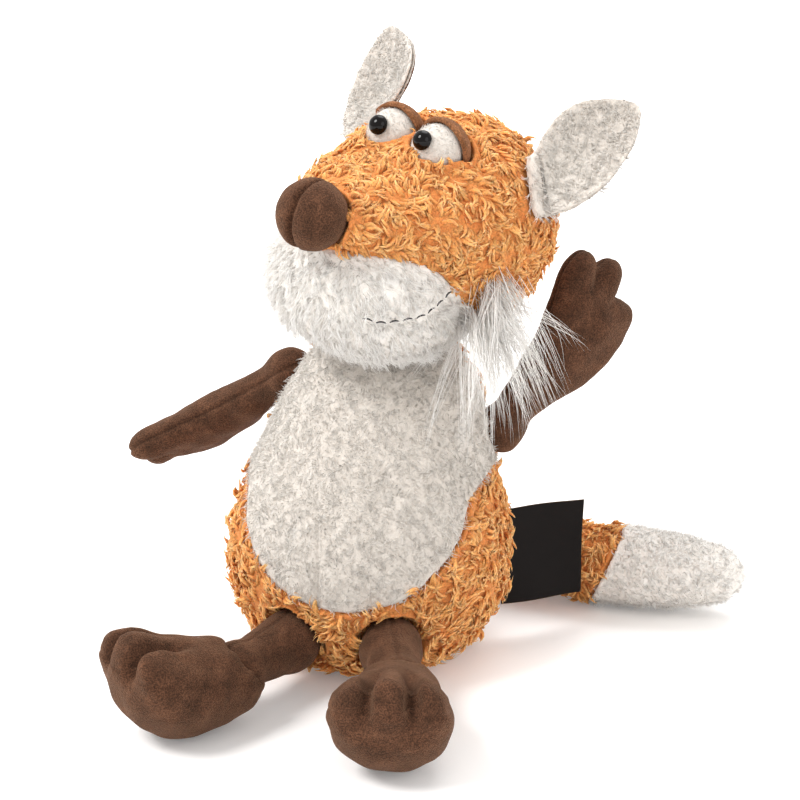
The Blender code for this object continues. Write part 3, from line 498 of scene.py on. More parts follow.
curlLocks = makeLocks("curlLock", {
    "seed": 11, "variants": 12, "bundles": 3, "bundleWidth": .00125, "bundleSides": 4, "flat": .7,
    "strands": 2, "width": .00036, "taper": 1.5, "length": .0088, "spread": .0024, "drawn": .45,
    "stray": .0008, "sunk": .0010, "lean": .80, "bend": 1.5, "fan": .35, "swerve": 2.4, "steps": 4,
})
shortHairs = makeLocks("shortHair", {
    "seed": 23, "variants": 8, "bundles": 0, "strands": 6, "width": .00014, "taper": 2.2, "length": .0036,
    "spread": .0018, "drawn": 0, "stray": .0010, "sunk": .0002, "lean": .9, "bend": 1.0, "fan": 2.6,
    "swerve": 2.0, "steps": 2,
})
longHairs = makeLocks("longHair", {
    "seed": 37, "variants": 8, "bundles": 0, "strands": 5, "width": .00017, "taper": 1.8, "length": .0078,
    "spread": .0017, "drawn": .2, "stray": .0013, "sunk": .0004, "lean": .85, "bend": .7, "fan": .6,
    "swerve": 1.0, "steps": 3,
})
fleeceHairs = makeLocks("fleeceHair", {
    "seed": 41, "variants": 5, "bundles": 0, "strands": 4, "width": .00012, "taper": 1.8, "length": .0015,
    "spread": .0009, "drawn": .2, "stray": .0003, "sunk": .0002, "lean": .6, "bend": .9, "fan": 1.5,
    "swerve": .8, "steps": 2,
})
print("locks made")


def newTree(name, inputs):
    # a Geometry Nodes tree with named inputs of each kind and one output, and the outputs of its input node
    tree = bpy.data.node_groups.new(name, "GeometryNodeTree")
    for kind, names in inputs.items():
        for socket in names:
            tree.interface.new_socket(socket, in_out="INPUT", socket_type="NodeSocket" + kind)
    tree.interface.new_socket("Piece", in_out="OUTPUT", socket_type="NodeSocketGeometry")
    return tree, addNode(tree, "NodeGroupInput").outputs


def endTree(tree, geometry, finish):
    real = addNode(tree, "GeometryNodeRealizeInstances", {0: geometry}).outputs[0]
    finished = addNode(tree, "GeometryNodeSetMaterial", {"Geometry": real, "Material": finish}).outputs[0]
    addNode(tree, "NodeGroupOutput", {0: finished})


plantRules = {"leastPile": .02, "densest": 3, "lastChoice": 99, "tintSeed": 5, "sizeSpread": .22, "lean": .25}


def makePileTree(plants):
    # scatters locks over a skin where its pile attribute is above 0, combed along a flow with swirls in it
    tree, given = newTree("pileTree", {
        "Geometry": ("Skin",), "Collection": ("Locks",),
        "Float": ("Spacing", "Size", "Size spread", "Swirl scale", "Swirl", "Away", "Spin", "Lean"),
        "Vector": ("Flow", "Flow from"), "Int": ("Seed",), "Material": ("Finish",),
    })

    def maths(operation, first, second):
        return addNode(tree, "ShaderNodeMath", {0: first, 1: second}, operation=operation).outputs[0]

    def vectors(operation, first, second):
        key = "Scale" if operation == "SCALE" else 1
        return addNode(tree, "ShaderNodeVectorMath", {0: first, key: second}, operation=operation).outputs[0]

    def chance(kind, inputs):
        return addNode(tree, "FunctionNodeRandomValue", inputs, data_type=kind).outputs

    pile = addNode(tree, "GeometryNodeInputNamedAttribute", {"Name": "pile"}, data_type="FLOAT").outputs[0]
    area = maths("MULTIPLY", given["Spacing"], given["Spacing"])
    scatter = addNode(tree, "GeometryNodeDistributePointsOnFaces", {
        "Mesh": given["Skin"], "Distance Min": given["Spacing"], "Seed": given["Seed"],
        "Density Max": maths("DIVIDE", plants["densest"], area),
        "Density Factor": maths("GREATER_THAN", pile, plants["leastPile"]),
    }, distribute_method="POISSON").outputs

    place = addNode(tree, "GeometryNodeInputPosition").outputs[0]
    swirls = addNode(
        tree, "ShaderNodeTexNoise", {"Vector": place, "Scale": given["Swirl scale"], "Detail": 1}
    ).outputs["Color"]
    centred = vectors("SUBTRACT", swirls, (.5, .5, .5))
    away = vectors("SCALE", vectors("SUBTRACT", place, given["Flow from"]), given["Away"])
    flow = vectors("ADD", vectors("ADD", given["Flow"], away), vectors("SCALE", centred, given["Swirl"]))

    upright = addNode(tree, "FunctionNodeAlignRotationToVector", {"Vector": scatter["Normal"]}, axis="Z")
    leaning = addNode(
        tree, "FunctionNodeAlignRotationToVector", {"Rotation": upright.outputs[0], "Vector": flow},
        axis="X", pivot_axis="Z",
    )
    most = addNode(
        tree, "ShaderNodeCombineXYZ", {0: given["Lean"], 1: given["Lean"], 2: given["Spin"]}
    ).outputs[0]
    angles = chance("FLOAT_VECTOR", {"Min": vectors("SCALE", most, -1), "Max": most, "Seed": given["Seed"]})
    turn = addNode(tree, "FunctionNodeEulerToRotation", {0: socketOf(angles, "Value")})
    spun = addNode(
        tree, "FunctionNodeRotateRotation", {0: leaning.outputs[0], 1: turn.outputs[0]},
        rotation_space="LOCAL",
    )
    sizes = chance("FLOAT", {
        "Min_001": maths("SUBTRACT", 1, given["Size spread"]),
        "Max_001": maths("ADD", 1, given["Size spread"]),
    })
    sized = maths("MULTIPLY", socketOf(sizes, "Value_001"), given["Size"])

    locks = addNode(tree, "GeometryNodeCollectionInfo", {
        "Collection": given["Locks"], "Separate Children": True, "Reset Children": True,
    })
    choice = chance("INT", {"Min_002": 0, "Max_002": plants["lastChoice"]})
    planted = addNode(tree, "GeometryNodeInstanceOnPoints", {
        "Points": scatter["Points"], "Instance": locks.outputs[0], "Pick Instance": True,
        "Instance Index": socketOf(choice, "Value_002"), "Rotation": spun.outputs[0],
        "Scale": maths("MULTIPLY", sized, pile),
    })
    tints = chance("FLOAT", {"Seed": plants["tintSeed"]})
    tinted = addNode(
        tree, "GeometryNodeStoreNamedAttribute",
        {"Geometry": planted.outputs[0], "Name": "tint", "Value": socketOf(tints, "Value_001")},
        data_type="FLOAT", domain="INSTANCE",
    )
    joined = addNode(tree, "GeometryNodeJoinGeometry")
    for part in (given["Skin"], tinted.outputs[0]):
        tree.links.new(part, joined.inputs[0])
    endTree(tree, joined.outputs[0], given["Finish"])
    return tree


def setInputs(modifier, values):
    identifiers = {item.name: item.identifier for item in modifier.node_group.interface.items_tree}
    for name, value in values.items():
        modifier[identifiers[name]] = value


pileTree = makePileTree(plantRules)
gravity = (0, 0, -1)


def settle(obj, body, replaced):
    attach(obj, body)
    if replaced:
        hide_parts(*replaced)
    return obj


def liftFlat(mesh):
    # what would reach below the seat lies flat on it
    points = pointsOf(mesh)
    points[:, 2] = np.maximum(points[:, 2], 0)
    setPoints(mesh, points)


def pileShare(mesh, piece):
    # how long the pile is at each point: none on inner walls and hidden rims, shorter near seams and joints;
    # and how far the skin may sink under it, not at all where a neighbour is sewn on
    points, normals = pointsOf(mesh), normalsOf(mesh)
    share, sink = np.ones(len(points)), np.ones(len(points))
    if "inside" in piece:
        # how far each point stands off the pieces inside it, measured along its own normal
        rises = ((points - nearestOn(points, piece["inside"])) * normals).sum(axis=1)
        share *= rises > piece["wall"]
    if "under" in piece:
        share *= ~coveredBy(points, normals, piece["under"])
    if "facing" in piece:
        share *= normals @ np.array(piece["facing"]) > piece.get("facingShare", .15)
    for names, start, reach, floor in piece.get("seams", ()):
        distance = distancesTo(points, names)
        nearSeam = floor + (1 - floor) * smoothStep(distance, start, start + reach)
        share *= np.where(distance < start, 0, nearSeam)
        sink = np.minimum(sink, smoothStep(distance, *skinRules["sink"]))
    return share, sink


def pressDart(mesh, share, dart):
    # a short upright dart, sewn in where a plane across the view from the front cuts the panel
    points = pointsOf(mesh)
    across = points @ np.array(dart["across"])
    middle = across.min() + (across.max() - across.min()) * dart["place"]
    depth = np.exp(-((across - middle) / dart["width"]) ** 2)
    depth *= 1 - smoothStep(points[:, 2], dart["top"] - dart["fade"], dart["top"])
    depth *= share > 0
    setPoints(mesh, points - normalsOf(mesh) * (depth * dart["depth"])[:, None])
    return share * (1 - depth * dart["parted"])


def dropSkin(mesh):
    # keeps the planted hairs alone; the skin has no tint of its own
    bm = bmesh.new()
    bm.from_mesh(mesh)
    tint = bm.verts.layers.float["tint"]
    bmesh.ops.delete(bm, geom=[vert for vert in bm.verts if vert[tint] == 0], context="VERTS")
    bm.to_mesh(mesh)
    bm.free()


def pilePiece(name, body, piece, finish):
    mesh = evenSkin(name, piece["skin"], piece["voxel"], piece["smooth"])
    share, sink = pileShare(mesh, piece)
    points = pointsOf(mesh)
    lumps = np.zeros(len(points))
    for finer, shift, lower in skinRules["lumps"]:
        lumps += noiseAt(points, piece["lumpSize"] / finer, shift) * piece["lump"] / lower
    outer = share > 0 if "inside" in piece or "facing" in piece else np.ones(len(points), bool)
    setPoints(mesh, points + normalsOf(mesh) * ((lumps - piece["inset"]) * outer * sink)[:, None])
    if "dart" in piece:
        share = pressDart(mesh, share, piece["dart"])
    setAttribute(mesh, "pile", share)
    obj = linkObject(name + "Draft", mesh)
    modifier = obj.modifiers.new("pile", "NODES")
    modifier.node_group = pileTree
    setInputs(modifier, {
        "Locks": piece["locks"], "Spacing": piece["spacing"], "Size": piece.get("size", 1.0),
        "Size spread": plantRules["sizeSpread"], "Swirl scale": piece["swirlScale"], "Swirl": piece["swirl"],
        "Away": piece.get("away", 0.0), "Spin": piece["spin"], "Lean": plantRules["lean"],
        "Flow": piece.get("flow", gravity), "Flow from": piece.get("flowFrom", (0, 0, 0)),
        "Seed": piece["seed"], "Finish": finish,
    })
    made = linkObject(name, evaluated(obj, name))
    if piece.get("hairsOnly"):
        dropSkin(made.data)
    liftFlat(made.data)
    settle(made, body, piece.get("replaces", piece["skin"]))
    print(name, len(made.data.polygons), "faces")


# places, as in the part's source

headMatrix = (
    Matrix.Translation((.0310, .0125, .2160))
    @ Matrix.Rotation(math.radians(-27), 4, "Z")
    @ Matrix.Rotation(math.radians(-12), 4, "X")
    @ Matrix.Rotation(math.radians(9), 4, "Y")
)
noseTip = headMatrix @ Vector((0, -.1000, -.0020))


def aim(place, azimuth, elevation, twist=0):
    turn = Matrix.Rotation(math.radians(azimuth), 4, "Z")
    tilt = Matrix.Rotation(math.radians(90 - elevation), 4, "Y")
    return Matrix.Translation(place) @ turn @ tilt @ Matrix.Rotation(math.radians(twist), 4, "Z")


# body, head and tail in curly pile

def centreOf(node):
    return tuple((low + high) / 2 for low, high in zip(*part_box(node)))


orangePieces = {
    "bodyCover": ("torso", {
        "skin": ("body_cover", "body_stuffing"), "replaces": ("body_cover", "body_stuffing", "pellet_bag"),
        "voxel": .0016, "smooth": 6, "inset": .0026, "lump": .0016, "lumpSize": .017, "seed": 3,
        "locks": curlLocks, "spacing": .0031, "swirl": 8.0, "swirlScale": 70.0, "spin": .3,
        "under": ("belly_panel",), "away": -20.0, "flowFrom": centreOf("belly_panel"),
        "seams": (
            (("belly_panel",), .0003, .002, .85), (("label",), .0010, .004, .5),
            (("neck_stuffing",), .002, .006, .4), (("left_arm_cover", "right_arm_cover"), .0009, .004, .7),
            (("tail_base_cover",), .0009, .004, .75), (("head_cover", "muzzle_cover"), .001, .006, .5),
            (("left_leg_cover", "right_leg_cover"), .0009, .004, .7),
        ),
    }),
    "headCover": ("head", {
        "skin": ("head_cover", "head_stuffing"),
        "voxel": .0015, "smooth": 6, "inset": .0026, "lump": .0014, "lumpSize": .016, "seed": 5,
        "locks": curlLocks, "spacing": .0029, "swirl": 7.0, "swirlScale": 75.0, "spin": .3, "size": .92,
        "flow": tuple(headMatrix.to_3x3() @ Vector((0, .6, .5))), "under": ("muzzle_cover",),
        "away": -22.0, "flowFrom": centreOf("muzzle_cover"),
        "seams": (
            (("muzzle_cover",), .0003, .002, .85), (("nose_cover",), .0009, .004, .85),
            (("left_eye_pad", "right_eye_pad"), .0009, .004, .6),
            (("left_eyelid", "right_eyelid"), .0009, .003, .7),
            (("left_ear_back", "right_ear_back"), .0009, .004, .85), (("neck_stuffing",), .002, .006, .4),
            (("body_cover", "belly_panel"), .001, .006, .5),
        ),
    }),
    "tailBaseCover": ("tail", {
        "skin": ("tail_base_cover", "tail_stuffing"),
        "voxel": .0013, "smooth": 6, "inset": .0024, "lump": .0012, "lumpSize": .014, "seed": 9,
        "locks": curlLocks, "spacing": .0029, "swirl": 6.0, "swirlScale": 75.0, "spin": .3, "size": .9,
        "flow": (1, 0, 0), "under": ("tail_tip_cover",),
        "seams": ((("tail_tip_cover",), .0003, .002, .85), (("body_cover",), .0008, .005, .5)),
    }),
}
for name, (body, piece) in orangePieces.items():
    pilePiece(name, body, piece, orangePile)

whitePieces = {
    "bellyPanel": ("torso", {
        "skin": ("belly_panel",), "inside": ("body_stuffing",), "wall": .0007,
        "voxel": .0011, "smooth": 4, "inset": .0009, "lump": .0007, "lumpSize": .012, "seed": 13,
        "locks": shortHairs, "spacing": .00205, "swirl": 7.0, "swirlScale": 130.0, "spin": .9,
        "dart": {
            "across": (.985, .174, 0), "place": .29, "top": .095, "fade": .025, "depth": .0014,
            "width": .0011, "parted": .45,
        },
        "seams": (
            (("head_stuffing", "neck_stuffing"), .001, .006, .4),
            (("left_arm_cover", "right_arm_cover"), .0006, .004, .5), (("body_cover",), 0, .003, .85),
        ),
    }),
    "muzzleCover": ("head", {
        "skin": ("muzzle_cover",), "inside": ("head_stuffing",), "wall": .0007, "finish": whitePile,
        "voxel": .0011, "smooth": 4, "inset": .0010, "lump": .0007, "lumpSize": .012, "seed": 17,
        "locks": longHairs, "spacing": .00195, "swirl": 1.6, "swirlScale": 90.0, "spin": .5,
        "flow": (0, 0, -.5), "away": 9.0, "flowFrom": tuple(noseTip),
        "seams": (
            (("mouth_thread",), .0006, .004, .3), (("nose_cover",), .0006, .008, .3),
            (("belly_panel",), .001, .004, .5), (("head_cover",), 0, .003, .75),
        ),
    }),
    "tailTipCover": ("tail", {
        "skin": ("tail_tip_cover",), "inside": ("tail_stuffing",), "wall": .0007, "finish": whitePile,
        "voxel": .0011, "smooth": 4, "inset": .0009, "lump": .0006, "lumpSize": .012, "seed": 19,
        "locks": shortHairs, "spacing": .00190, "swirl": 2.5, "swirlScale": 110.0, "spin": .8,
        "flow": (1, 0, 0), "seams": ((("tail_base_cover",), 0, .003, .85),),
    }),
}
for name, (body, piece) in whitePieces.items():
    pilePiece(name, body, piece, piece.get("finish", whiteFleece))
print("curly and white pile grown")


# velour limbs, feet and nose

def groove(mesh, place, across, keep, depth, width, grooveShade):
    # presses a seam line into the skin where a plane cuts it, and says how far painted shade darkens the
    # cloth in that groove
    points = pointsOf(mesh)
    distance = np.abs((points - np.array(place)) @ np.array(across))
    share = np.exp(-(distance / width) ** 2) * keep(points)
    setPoints(mesh, points - normalsOf(mesh) * (depth * share)[:, None])
    return share * grooveShade


def lowerOnto(mesh, names, cloth, keep):
    # what stands further off the stuffing than the cloth's thickness keeps only a share of its height
    points = pointsOf(mesh)
    nearest = nearestOn(points, names)
    height = np.linalg.norm(points - nearest, axis=1)
    lowered = np.where(height > cloth, cloth + (height - cloth) * keep, height)
    scale = lowered / np.maximum(height, 1e-6)
    setPoints(mesh, nearest + (points - nearest) * scale[:, None])


def velourPiece(name, body, piece, seams=()):
    mesh = evenSkin(name, piece["skin"], piece["voxel"], piece["smooth"], piece.get("refine", 0))
    if "lower" in piece:
        lowerOnto(mesh, piece["skin"][1:], *piece["lower"])
    points = pointsOf(mesh)
    puckers = noiseAt(points, piece["puckerSize"], 3) * piece["pucker"]
    setPoints(mesh, points + normalsOf(mesh) * (puckers + piece.get("swell", 0))[:, None])
    if seams:
        # the darkening kept as the seam attribute is painted shade, as deep as each groove
        setAttribute(mesh, "seam", np.max([groove(mesh, *seam) for seam in seams], axis=0))
    liftFlat(mesh)
    mesh.materials.append(piece.get("finish", brownVelour))
    made = linkObject(name, mesh)
    settle(made, body, piece["skin"])
    print(name, len(mesh.polygons), "faces")
    return made


def everywhere(points):
    return np.ones(len(points))


def along(points, limb, axis):
    # each point's place along one axis of the limb's own frame
    row = limb.inverted()[axis]
    return points @ np.array(row[:3]) + row[3]


def beyond(limb, rules):
    # fades a crease in past a length along the limb, and out on its underside
    def keep(points):
        upper = smoothStep(along(points, limb, 1), rules["under"], rules["upper"])
        return smoothStep(along(points, limb, 2), rules["start"], rules["start"] + rules["fade"]) * upper
    return keep


def creases(limb, rules):
    # grooves from places and directions in the limb's own frame
    return [
        (
            tuple(limb @ Vector(place)), tuple(limb.to_3x3() @ Vector(across).normalized()),
            beyond(limb, rules), rules["depth"], rules["width"], rules["grooveShade"],
        )
        for place, across in rules["lines"]
    ]


def sideSeam(limb, seam):
    # joins a limb's upper and lower cut pieces
    return (tuple(limb.translation), tuple(limb.to_3x3() @ Vector((0, 1, 0))), everywhere, *seam)


def frontSeam(place, azimuth, seam):
    across = (-math.sin(math.radians(azimuth)), math.cos(math.radians(azimuth)), 0)
    return (place, across, everywhere, *seam)


armPlaces = {
    "left": aim((.0622, .0140, .1120), 40, 50, 0),
    "right": aim((-.0421, .0129, .1345), 166, -33, -74),
}
legAxes = {"left": ((.0220, -.0620, .0255), -75), "right": ((-.0275, -.0600, .0250), -117)}
footPlaces = {
    "left": aim((.031576, -.097739, .0255), -84, 13, 90),
    "right": aim((-.044298, -.092967, .0250), -137, 15, 90),
}
limbRules = {"pucker": .0011, "puckerSize": .011, "fill": .75}
limbPieces = {        # a seam's depth, width and the painted shade in its groove
    "Arm": {"voxel": .0020, "smooth": 14, "refine": 1, "swell": .0006, "seam": (.0012, .0010, .8)},
    "Leg": {"voxel": .0009, "smooth": 14, "seam": (.0008, .0010, .5)},
    "Foot": {
        "voxel": .0021, "smooth": 26, "refine": 1, "swell": .0012, "seam": (.0004, .0010, .22),
        "lower": (.0016, .35),
    },
}
# the darkening in each finger crease is painted shade
fingerCreases = {
    "lines": (((-.0066, 0, .0860), (1, 0, .1)), ((.0099, 0, .0823), (.845, 0, -.535))),
    "start": .074, "fade": .014, "under": -1, "upper": -.5, "depth": .0024, "width": .0020, "grooveShade": .35,
}
# the darkening in each toe crease is painted shade
toeCreases = {
    "lines": (((-.0092, 0, .05), (1, 0, .12)), ((.0092, 0, .05), (1, 0, -.12))),
    "start": .026, "fade": .020, "under": -.008, "upper": .006, "depth": .0068, "width": .0030, "grooveShade": .3,
}
for side in sides:
    arm, foot = armPlaces[side], footPlaces[side]
    seamsOf = {
        "Arm": [sideSeam(arm, limbPieces["Arm"]["seam"]), *creases(arm, fingerCreases)],
        "Leg": [frontSeam(*legAxes[side], limbPieces["Leg"]["seam"])],
        "Foot": [sideSeam(foot, limbPieces["Foot"]["seam"]), *creases(foot, toeCreases)],
    }
    for limb, piece in limbPieces.items():
        node = f"{side}_{limb.lower()}"
        skin = (f"{node}_cover", f"{node}_stuffing")
        velourPiece(f"{side}{limb}Cover", node, dict(limbRules, skin=skin, **piece), seamsOf[limb])

# the last number of the nose seam is painted shade in its groove
noseRules = {
    "skin": ("nose_cover", "nose_stuffing"), "voxel": .0007, "smooth": 8, "pucker": .0004, "puckerSize": .009,
    "fill": .9, "middle": (0, -.0945, -.0020), "radius": .017, "seam": (.0026, .0012, .4),
}


def noseFront(points):
    # the drawn-in seam runs over the nose's front and fades out before its back
    ahead = noseRules["middle"][1] - along(points, headMatrix, 1)
    return smoothStep(ahead, -noseRules["radius"] * .5, noseRules["radius"] * .2)


velourPiece("noseCover", "head", noseRules, [(
    tuple(headMatrix @ Vector(noseRules["middle"])), tuple(headMatrix.to_3x3() @ Vector((1, 0, 0))),
    noseFront, *noseRules["seam"],
)])
print("velour pieces made")


# ears

earRules = {
    "back": {"voxel": .0008, "smooth": 6, "pucker": .0005, "puckerSize": .012, "fill": .3},
    "front": {
        "voxel": .0008, "smooth": 5, "inset": .0004, "lump": .0004, "lumpSize": .010, "seed": 29,
        "locks": shortHairs, "spacing": .0019, "swirl": 1.6, "swirlScale": 110.0, "spin": .9,
    },
    "fringe": {
        "voxel": .0012, "smooth": 4, "inset": 0, "lump": 0, "lumpSize": .010, "seed": 33,
        "locks": longHairs, "spacing": .0021, "swirl": .6, "swirlScale": 110.0, "spin": .5, "size": .95,
        "facingShare": .2, "hairsOnly": True, "replaces": (),
    },
    "turned": .25,        # how far a face of the back looks ahead before it is white
    "lean": -32, "open": 24, "twist": 20,
}


def turnOf(angle, axis):
    return Matrix.Rotation(math.radians(angle), 3, axis)


for side, sign in sides.items():
    turn = headMatrix.to_3x3()
    front = (
        turn @ turnOf(earRules["lean"], "X") @ turnOf(sign * earRules["open"], "Y")
        @ turnOf(sign * earRules["twist"], "Z") @ Vector((0, -1, 0))
    )
    ear = f"{side}_ear"
    back = velourPiece(f"{side}EarBack", ear, dict(earRules["back"], skin=(f"{ear}_back",)))
    back.data.materials.append(whiteFleece)
    for face in back.data.polygons:
        face.material_index = int(face.normal.dot(front) > earRules["turned"])
    pilePiece(f"{side}EarFront", ear, dict(
        earRules["front"], skin=(f"{ear}_front",), facing=tuple(front),
        flow=tuple(turn @ Vector((sign * .35, -.1, .8))),
    ), whiteFleece)
    pilePiece(f"{side}EarFringe", ear, dict(
        earRules["fringe"], skin=(f"{ear}_back",), facing=tuple(front),
        flow=tuple(turn @ Vector((sign * .9, -.1, -.1))),
    ), whiteFleece)


# eyes

eyeRules = {
    "pad": {
        "voxel": .0009, "smooth": 6, "inset": .0004, "lump": .0002, "lumpSize": .006, "seed": 31,
        "locks": fleeceHairs, "spacing": .00160, "swirl": 2.0, "swirlScale": 200.0, "spin": 1.5,
        "facingShare": -.3,
    },
    "lid": {
        "voxel": .0006, "smooth": 6, "pucker": .0002, "puckerSize": .008, "fill": .5, "finish": tanVelour,
    },
    "beadVoxel": .00032, "beadSmooth": 8,
}
for side, sign in sides.items():
    eye = headMatrix.to_3x3() @ turnOf(-sign, "Z") @ turnOf(-10, "X")
    node = f"{side}_eye"
    pilePiece(f"{side}EyePad", "head", dict(
        eyeRules["pad"], skin=(f"{node}_pad",), facing=tuple(eye @ Vector((0, -1, 0))),
        seams=(
            (("head_cover",), .0004, .002, .6), ((f"{node}_bead",), .0004, .002, .5),
            ((f"{node}lid",), .0004, .002, .6),
        ),
    ), whiteFleece)
    velourPiece(f"{side}Eyelid", "head", dict(eyeRules["lid"], skin=(f"{node}lid",)))
    bead = evenSkin(f"{side}EyeBead", (f"{node}_bead",), eyeRules["beadVoxel"], eyeRules["beadSmooth"])
    bead.materials.append(blackGloss)
    settle(linkObject(f"{side}EyeBead", bead), "head", (f"{node}_bead",))
    for slotOfNode in cadNodes[f"{node}_washer"].material_slots:
        slotOfNode.material = whitePlastic
print("eyes and ears made")


# cheek tufts of long hairs

tuftRules = {
    "left": {
        "wisps": 44, "length": (.028, .080), "way": (.70, -.22, -.60), "wild": .28, "droop": .70, "seed": 52,
    },
    "right": {
        "wisps": 22, "length": (.024, .060), "way": (-.70, -.50, -.40), "wild": .34, "droop": .5, "seed": 50,
    },
    "hairs": 15, "width": .00015, "steps": 10, "root": (.0060, .0100, .0120),
    "place": (.0490, -.0170, -.0240), "loose": .0027, "drawn": .55, "wave": .0030, "waves": 5.5,
    "sag": .3, "wander": .04,
}


def tuftMesh(name, sign, rules, shared):
    # wisps of long hairs that wave and draw together towards their ends
    chooser = random.Random(rules["seed"])
    parts = ([], [], [], [])
    turn = headMatrix.to_3x3()
    root = headMatrix @ Vector((sign * shared["place"][0], *shared["place"][1:]))
    for _ in range(rules["wisps"]):
        offset = turn @ Vector([chooser.uniform(-1, 1) * reach for reach in shared["root"]])
        wander = Vector([chooser.gauss(0, 1) for _ in range(3)]) * rules["wild"]
        way = (turn @ Vector(rules["way"]) + wander).normalized()
        length = chooser.uniform(*rules["length"]) / shared["steps"]
        phase = chooser.uniform(0, 2 * math.pi)
        wisp = [root + offset]
        for step in range(shared["steps"]):
            wisp.append(wisp[-1] + way * length)
            share = (step + 1) / shared["steps"]
            sag = Vector(gravity) * rules["droop"] * share * shared["sag"]
            way = (way + sag + wander * shared["wander"]).normalized()
        for _ in range(shared["hairs"]):
            loose = Vector([chooser.gauss(0, 1) for _ in range(3)]) * shared["loose"]
            wave = Vector([chooser.gauss(0, 1) for _ in range(3)]).normalized() * shared["wave"]
            reach = chooser.uniform(.6, 1)
            path, radii = [], []
            for step, point in enumerate(wisp):
                share = step / shared["steps"]
                bowed = wave * math.sin(share * shared["waves"] + phase) * share
                parted = loose * (1 - share * shared["drawn"])
                path.append(wisp[0] + (point - wisp[0]) * reach + parted + bowed)
                radii.append(shared["width"] * (1 - share ** 2))
            addStrand(parts, path, radii, 3)
    return meshOf(name, parts)


for side, sign in sides.items():
    mesh = tuftMesh(f"{side}CheekTuft", sign, tuftRules[side], tuftRules)
    mesh.materials.append(whitePile)
    settle(linkObject(f"{side}CheekTuft", mesh), "head", (f"{side}_cheek_tuft",))


stitchRules = {
    "pitch": .0058, "length": .0046, "width": .00042, "arch": .0006, "lift": .0012, "steps": 8, "sides": 6,
    "middle": .0385,        # how far ahead of the head's origin the mouth's curve has its centre
    "pathPoints": 14,
}


def mouthPath(rules):
    # the thread's centre line, from its node's points taken in order across the face
    points = pointsOf(cadCopy(("mouth_thread",)))
    local = np.array([tuple(headMatrix.inverted() @ Vector(point)) for point in points])
    order = np.argsort(np.arctan2(local[:, 0], -(local[:, 1] + rules["middle"])))
    skin = surfaceOf(("muzzle_cover",))
    path = []
    for group in np.array_split(order, rules["pathPoints"]):
        place, normal, _, _ = skin.find_nearest(Vector(points[group].mean(axis=0)))
        path.append(place + normal * rules["lift"])
    return path


def makeStitchTree():
    tree, given = newTree("stitchTree", {
        "Geometry": ("Path",), "Object": ("Stitch",), "Float": ("Pitch",), "Material": ("Finish",),
    })
    spots = addNode(
        tree, "GeometryNodeCurveToPoints", {"Curve": given["Path"], "Length": given["Pitch"]}, mode="LENGTH"
    ).outputs
    turned = addNode(tree, "FunctionNodeAlignRotationToVector", {"Vector": spots["Tangent"]}, axis="X")
    stitch = addNode(tree, "GeometryNodeObjectInfo", {"Object": given["Stitch"], "As Instance": True})
    sewn = addNode(tree, "GeometryNodeInstanceOnPoints", {
        "Points": spots["Points"], "Instance": stitch.outputs["Geometry"], "Rotation": turned.outputs[0],
    })
    endTree(tree, sewn.outputs[0], given["Finish"])
    return tree


def makeStitch(rules):
    parts = ([], [], [], [])
    path, radii = [], []
    for step in range(rules["steps"] + 1):
        share = step / rules["steps"]
        path.append(Vector(((share - .5) * rules["length"], 0, -rules["arch"] * (2 * share - 1) ** 2)))
        radii.append(rules["width"] * (.55 + .45 * math.sin(math.pi * share)))
    addStrand(parts, path, radii, rules["sides"])
    return bpy.data.objects.new("stitch", meshOf("stitch", parts))


def pathCurve(name, points):
    curve = bpy.data.curves.new(name, "CURVE")
    curve.dimensions = "3D"
    spline = curve.splines.new("POLY")
    spline.points.add(len(points) - 1)
    for target, point in zip(spline.points, points):
        target.co = (*point, 1)
    return linkObject(name, curve)


stitchCurve = pathCurve("mouthPath", mouthPath(stitchRules))
sewing = stitchCurve.modifiers.new("sewing", "NODES")
sewing.node_group = makeStitchTree()
setInputs(sewing, {"Stitch": makeStitch(stitchRules), "Pitch": stitchRules["pitch"], "Finish": blackThread})
mouth = linkObject("mouthThread", evaluated(stitchCurve, "mouthThread"))
settle(mouth, "head", ("mouth_thread",))
print("mouth sewn")


# label

labelRules = {
    "width": .039, "length": .047, "thickness": .0005, "columns": 40, "rows": 48,
    "waves": ((5.1, 2.2, 0, .0011), (0, 6.3, 1, .00055)),        # turns across, turns up, start, height
}


def labelMesh(rules):
    # a thin folded ribbon whose free end waves a little; laid over the node's own middle plane
    points = pointsOf(cadCopy(("label",)))
    centre = points.mean(axis=0)
    _, _, axes = np.linalg.svd(points - centre, full_matrices=False)
    normal = Vector(axes[2])
    up = Vector((0, 0, 1))
    rise = (up - normal * up.dot(normal)).normalized()
    across = rise.cross(normal).normalized()
    spread = (points - centre) @ np.array(across)
    height = (points - centre) @ np.array(rise)
    columns, rows = rules["columns"], rules["rows"]
    bm = bmesh.new()
    layer = bm.loops.layers.uv.new("cloth")
    grid, edge = [], []
    for row in range(rows + 1):
        grid.append([])
        for column in range(columns + 1):
            u, v = column / columns, row / rows
            x = spread.min() + (spread.max() - spread.min()) * u
            y = height.min() + (height.max() - height.min()) * v
            wave = sum(math.sin(u * acrossTurns + v * upTurns + start) * size
                       for acrossTurns, upTurns, start, size in rules["waves"])
            grid[-1].append(bm.verts.new(Vector(centre) + across * x + rise * y + normal * wave))
            edge.append(row in (0, rows) or column in (0, columns))
    corners = ((0, 0), (1, 0), (1, 1), (0, 1))
    for row in range(rows):
        for column in range(columns):
            face = bm.faces.new([grid[row + r][column + c] for c, r in corners])
            face.smooth = True
            for loop, (c, r) in zip(face.loops, corners):
                loop[layer].uv = ((column + c) / columns, (row + r) / rows)
    mesh = bpy.data.meshes.new("label")
    bm.to_mesh(mesh)
    bm.free()
    setAttribute(mesh, "selvedge", edge)
    return mesh


label = linkObject("clothLabel", labelMesh(labelRules))
label.data.materials.append(blackSatin)
thick = label.modifiers.new("thickness", "SOLIDIFY")
thick.thickness = labelRules["thickness"]
thick.offset = 0
settle(label, "label", ("label",))
print("label hung")


# neck

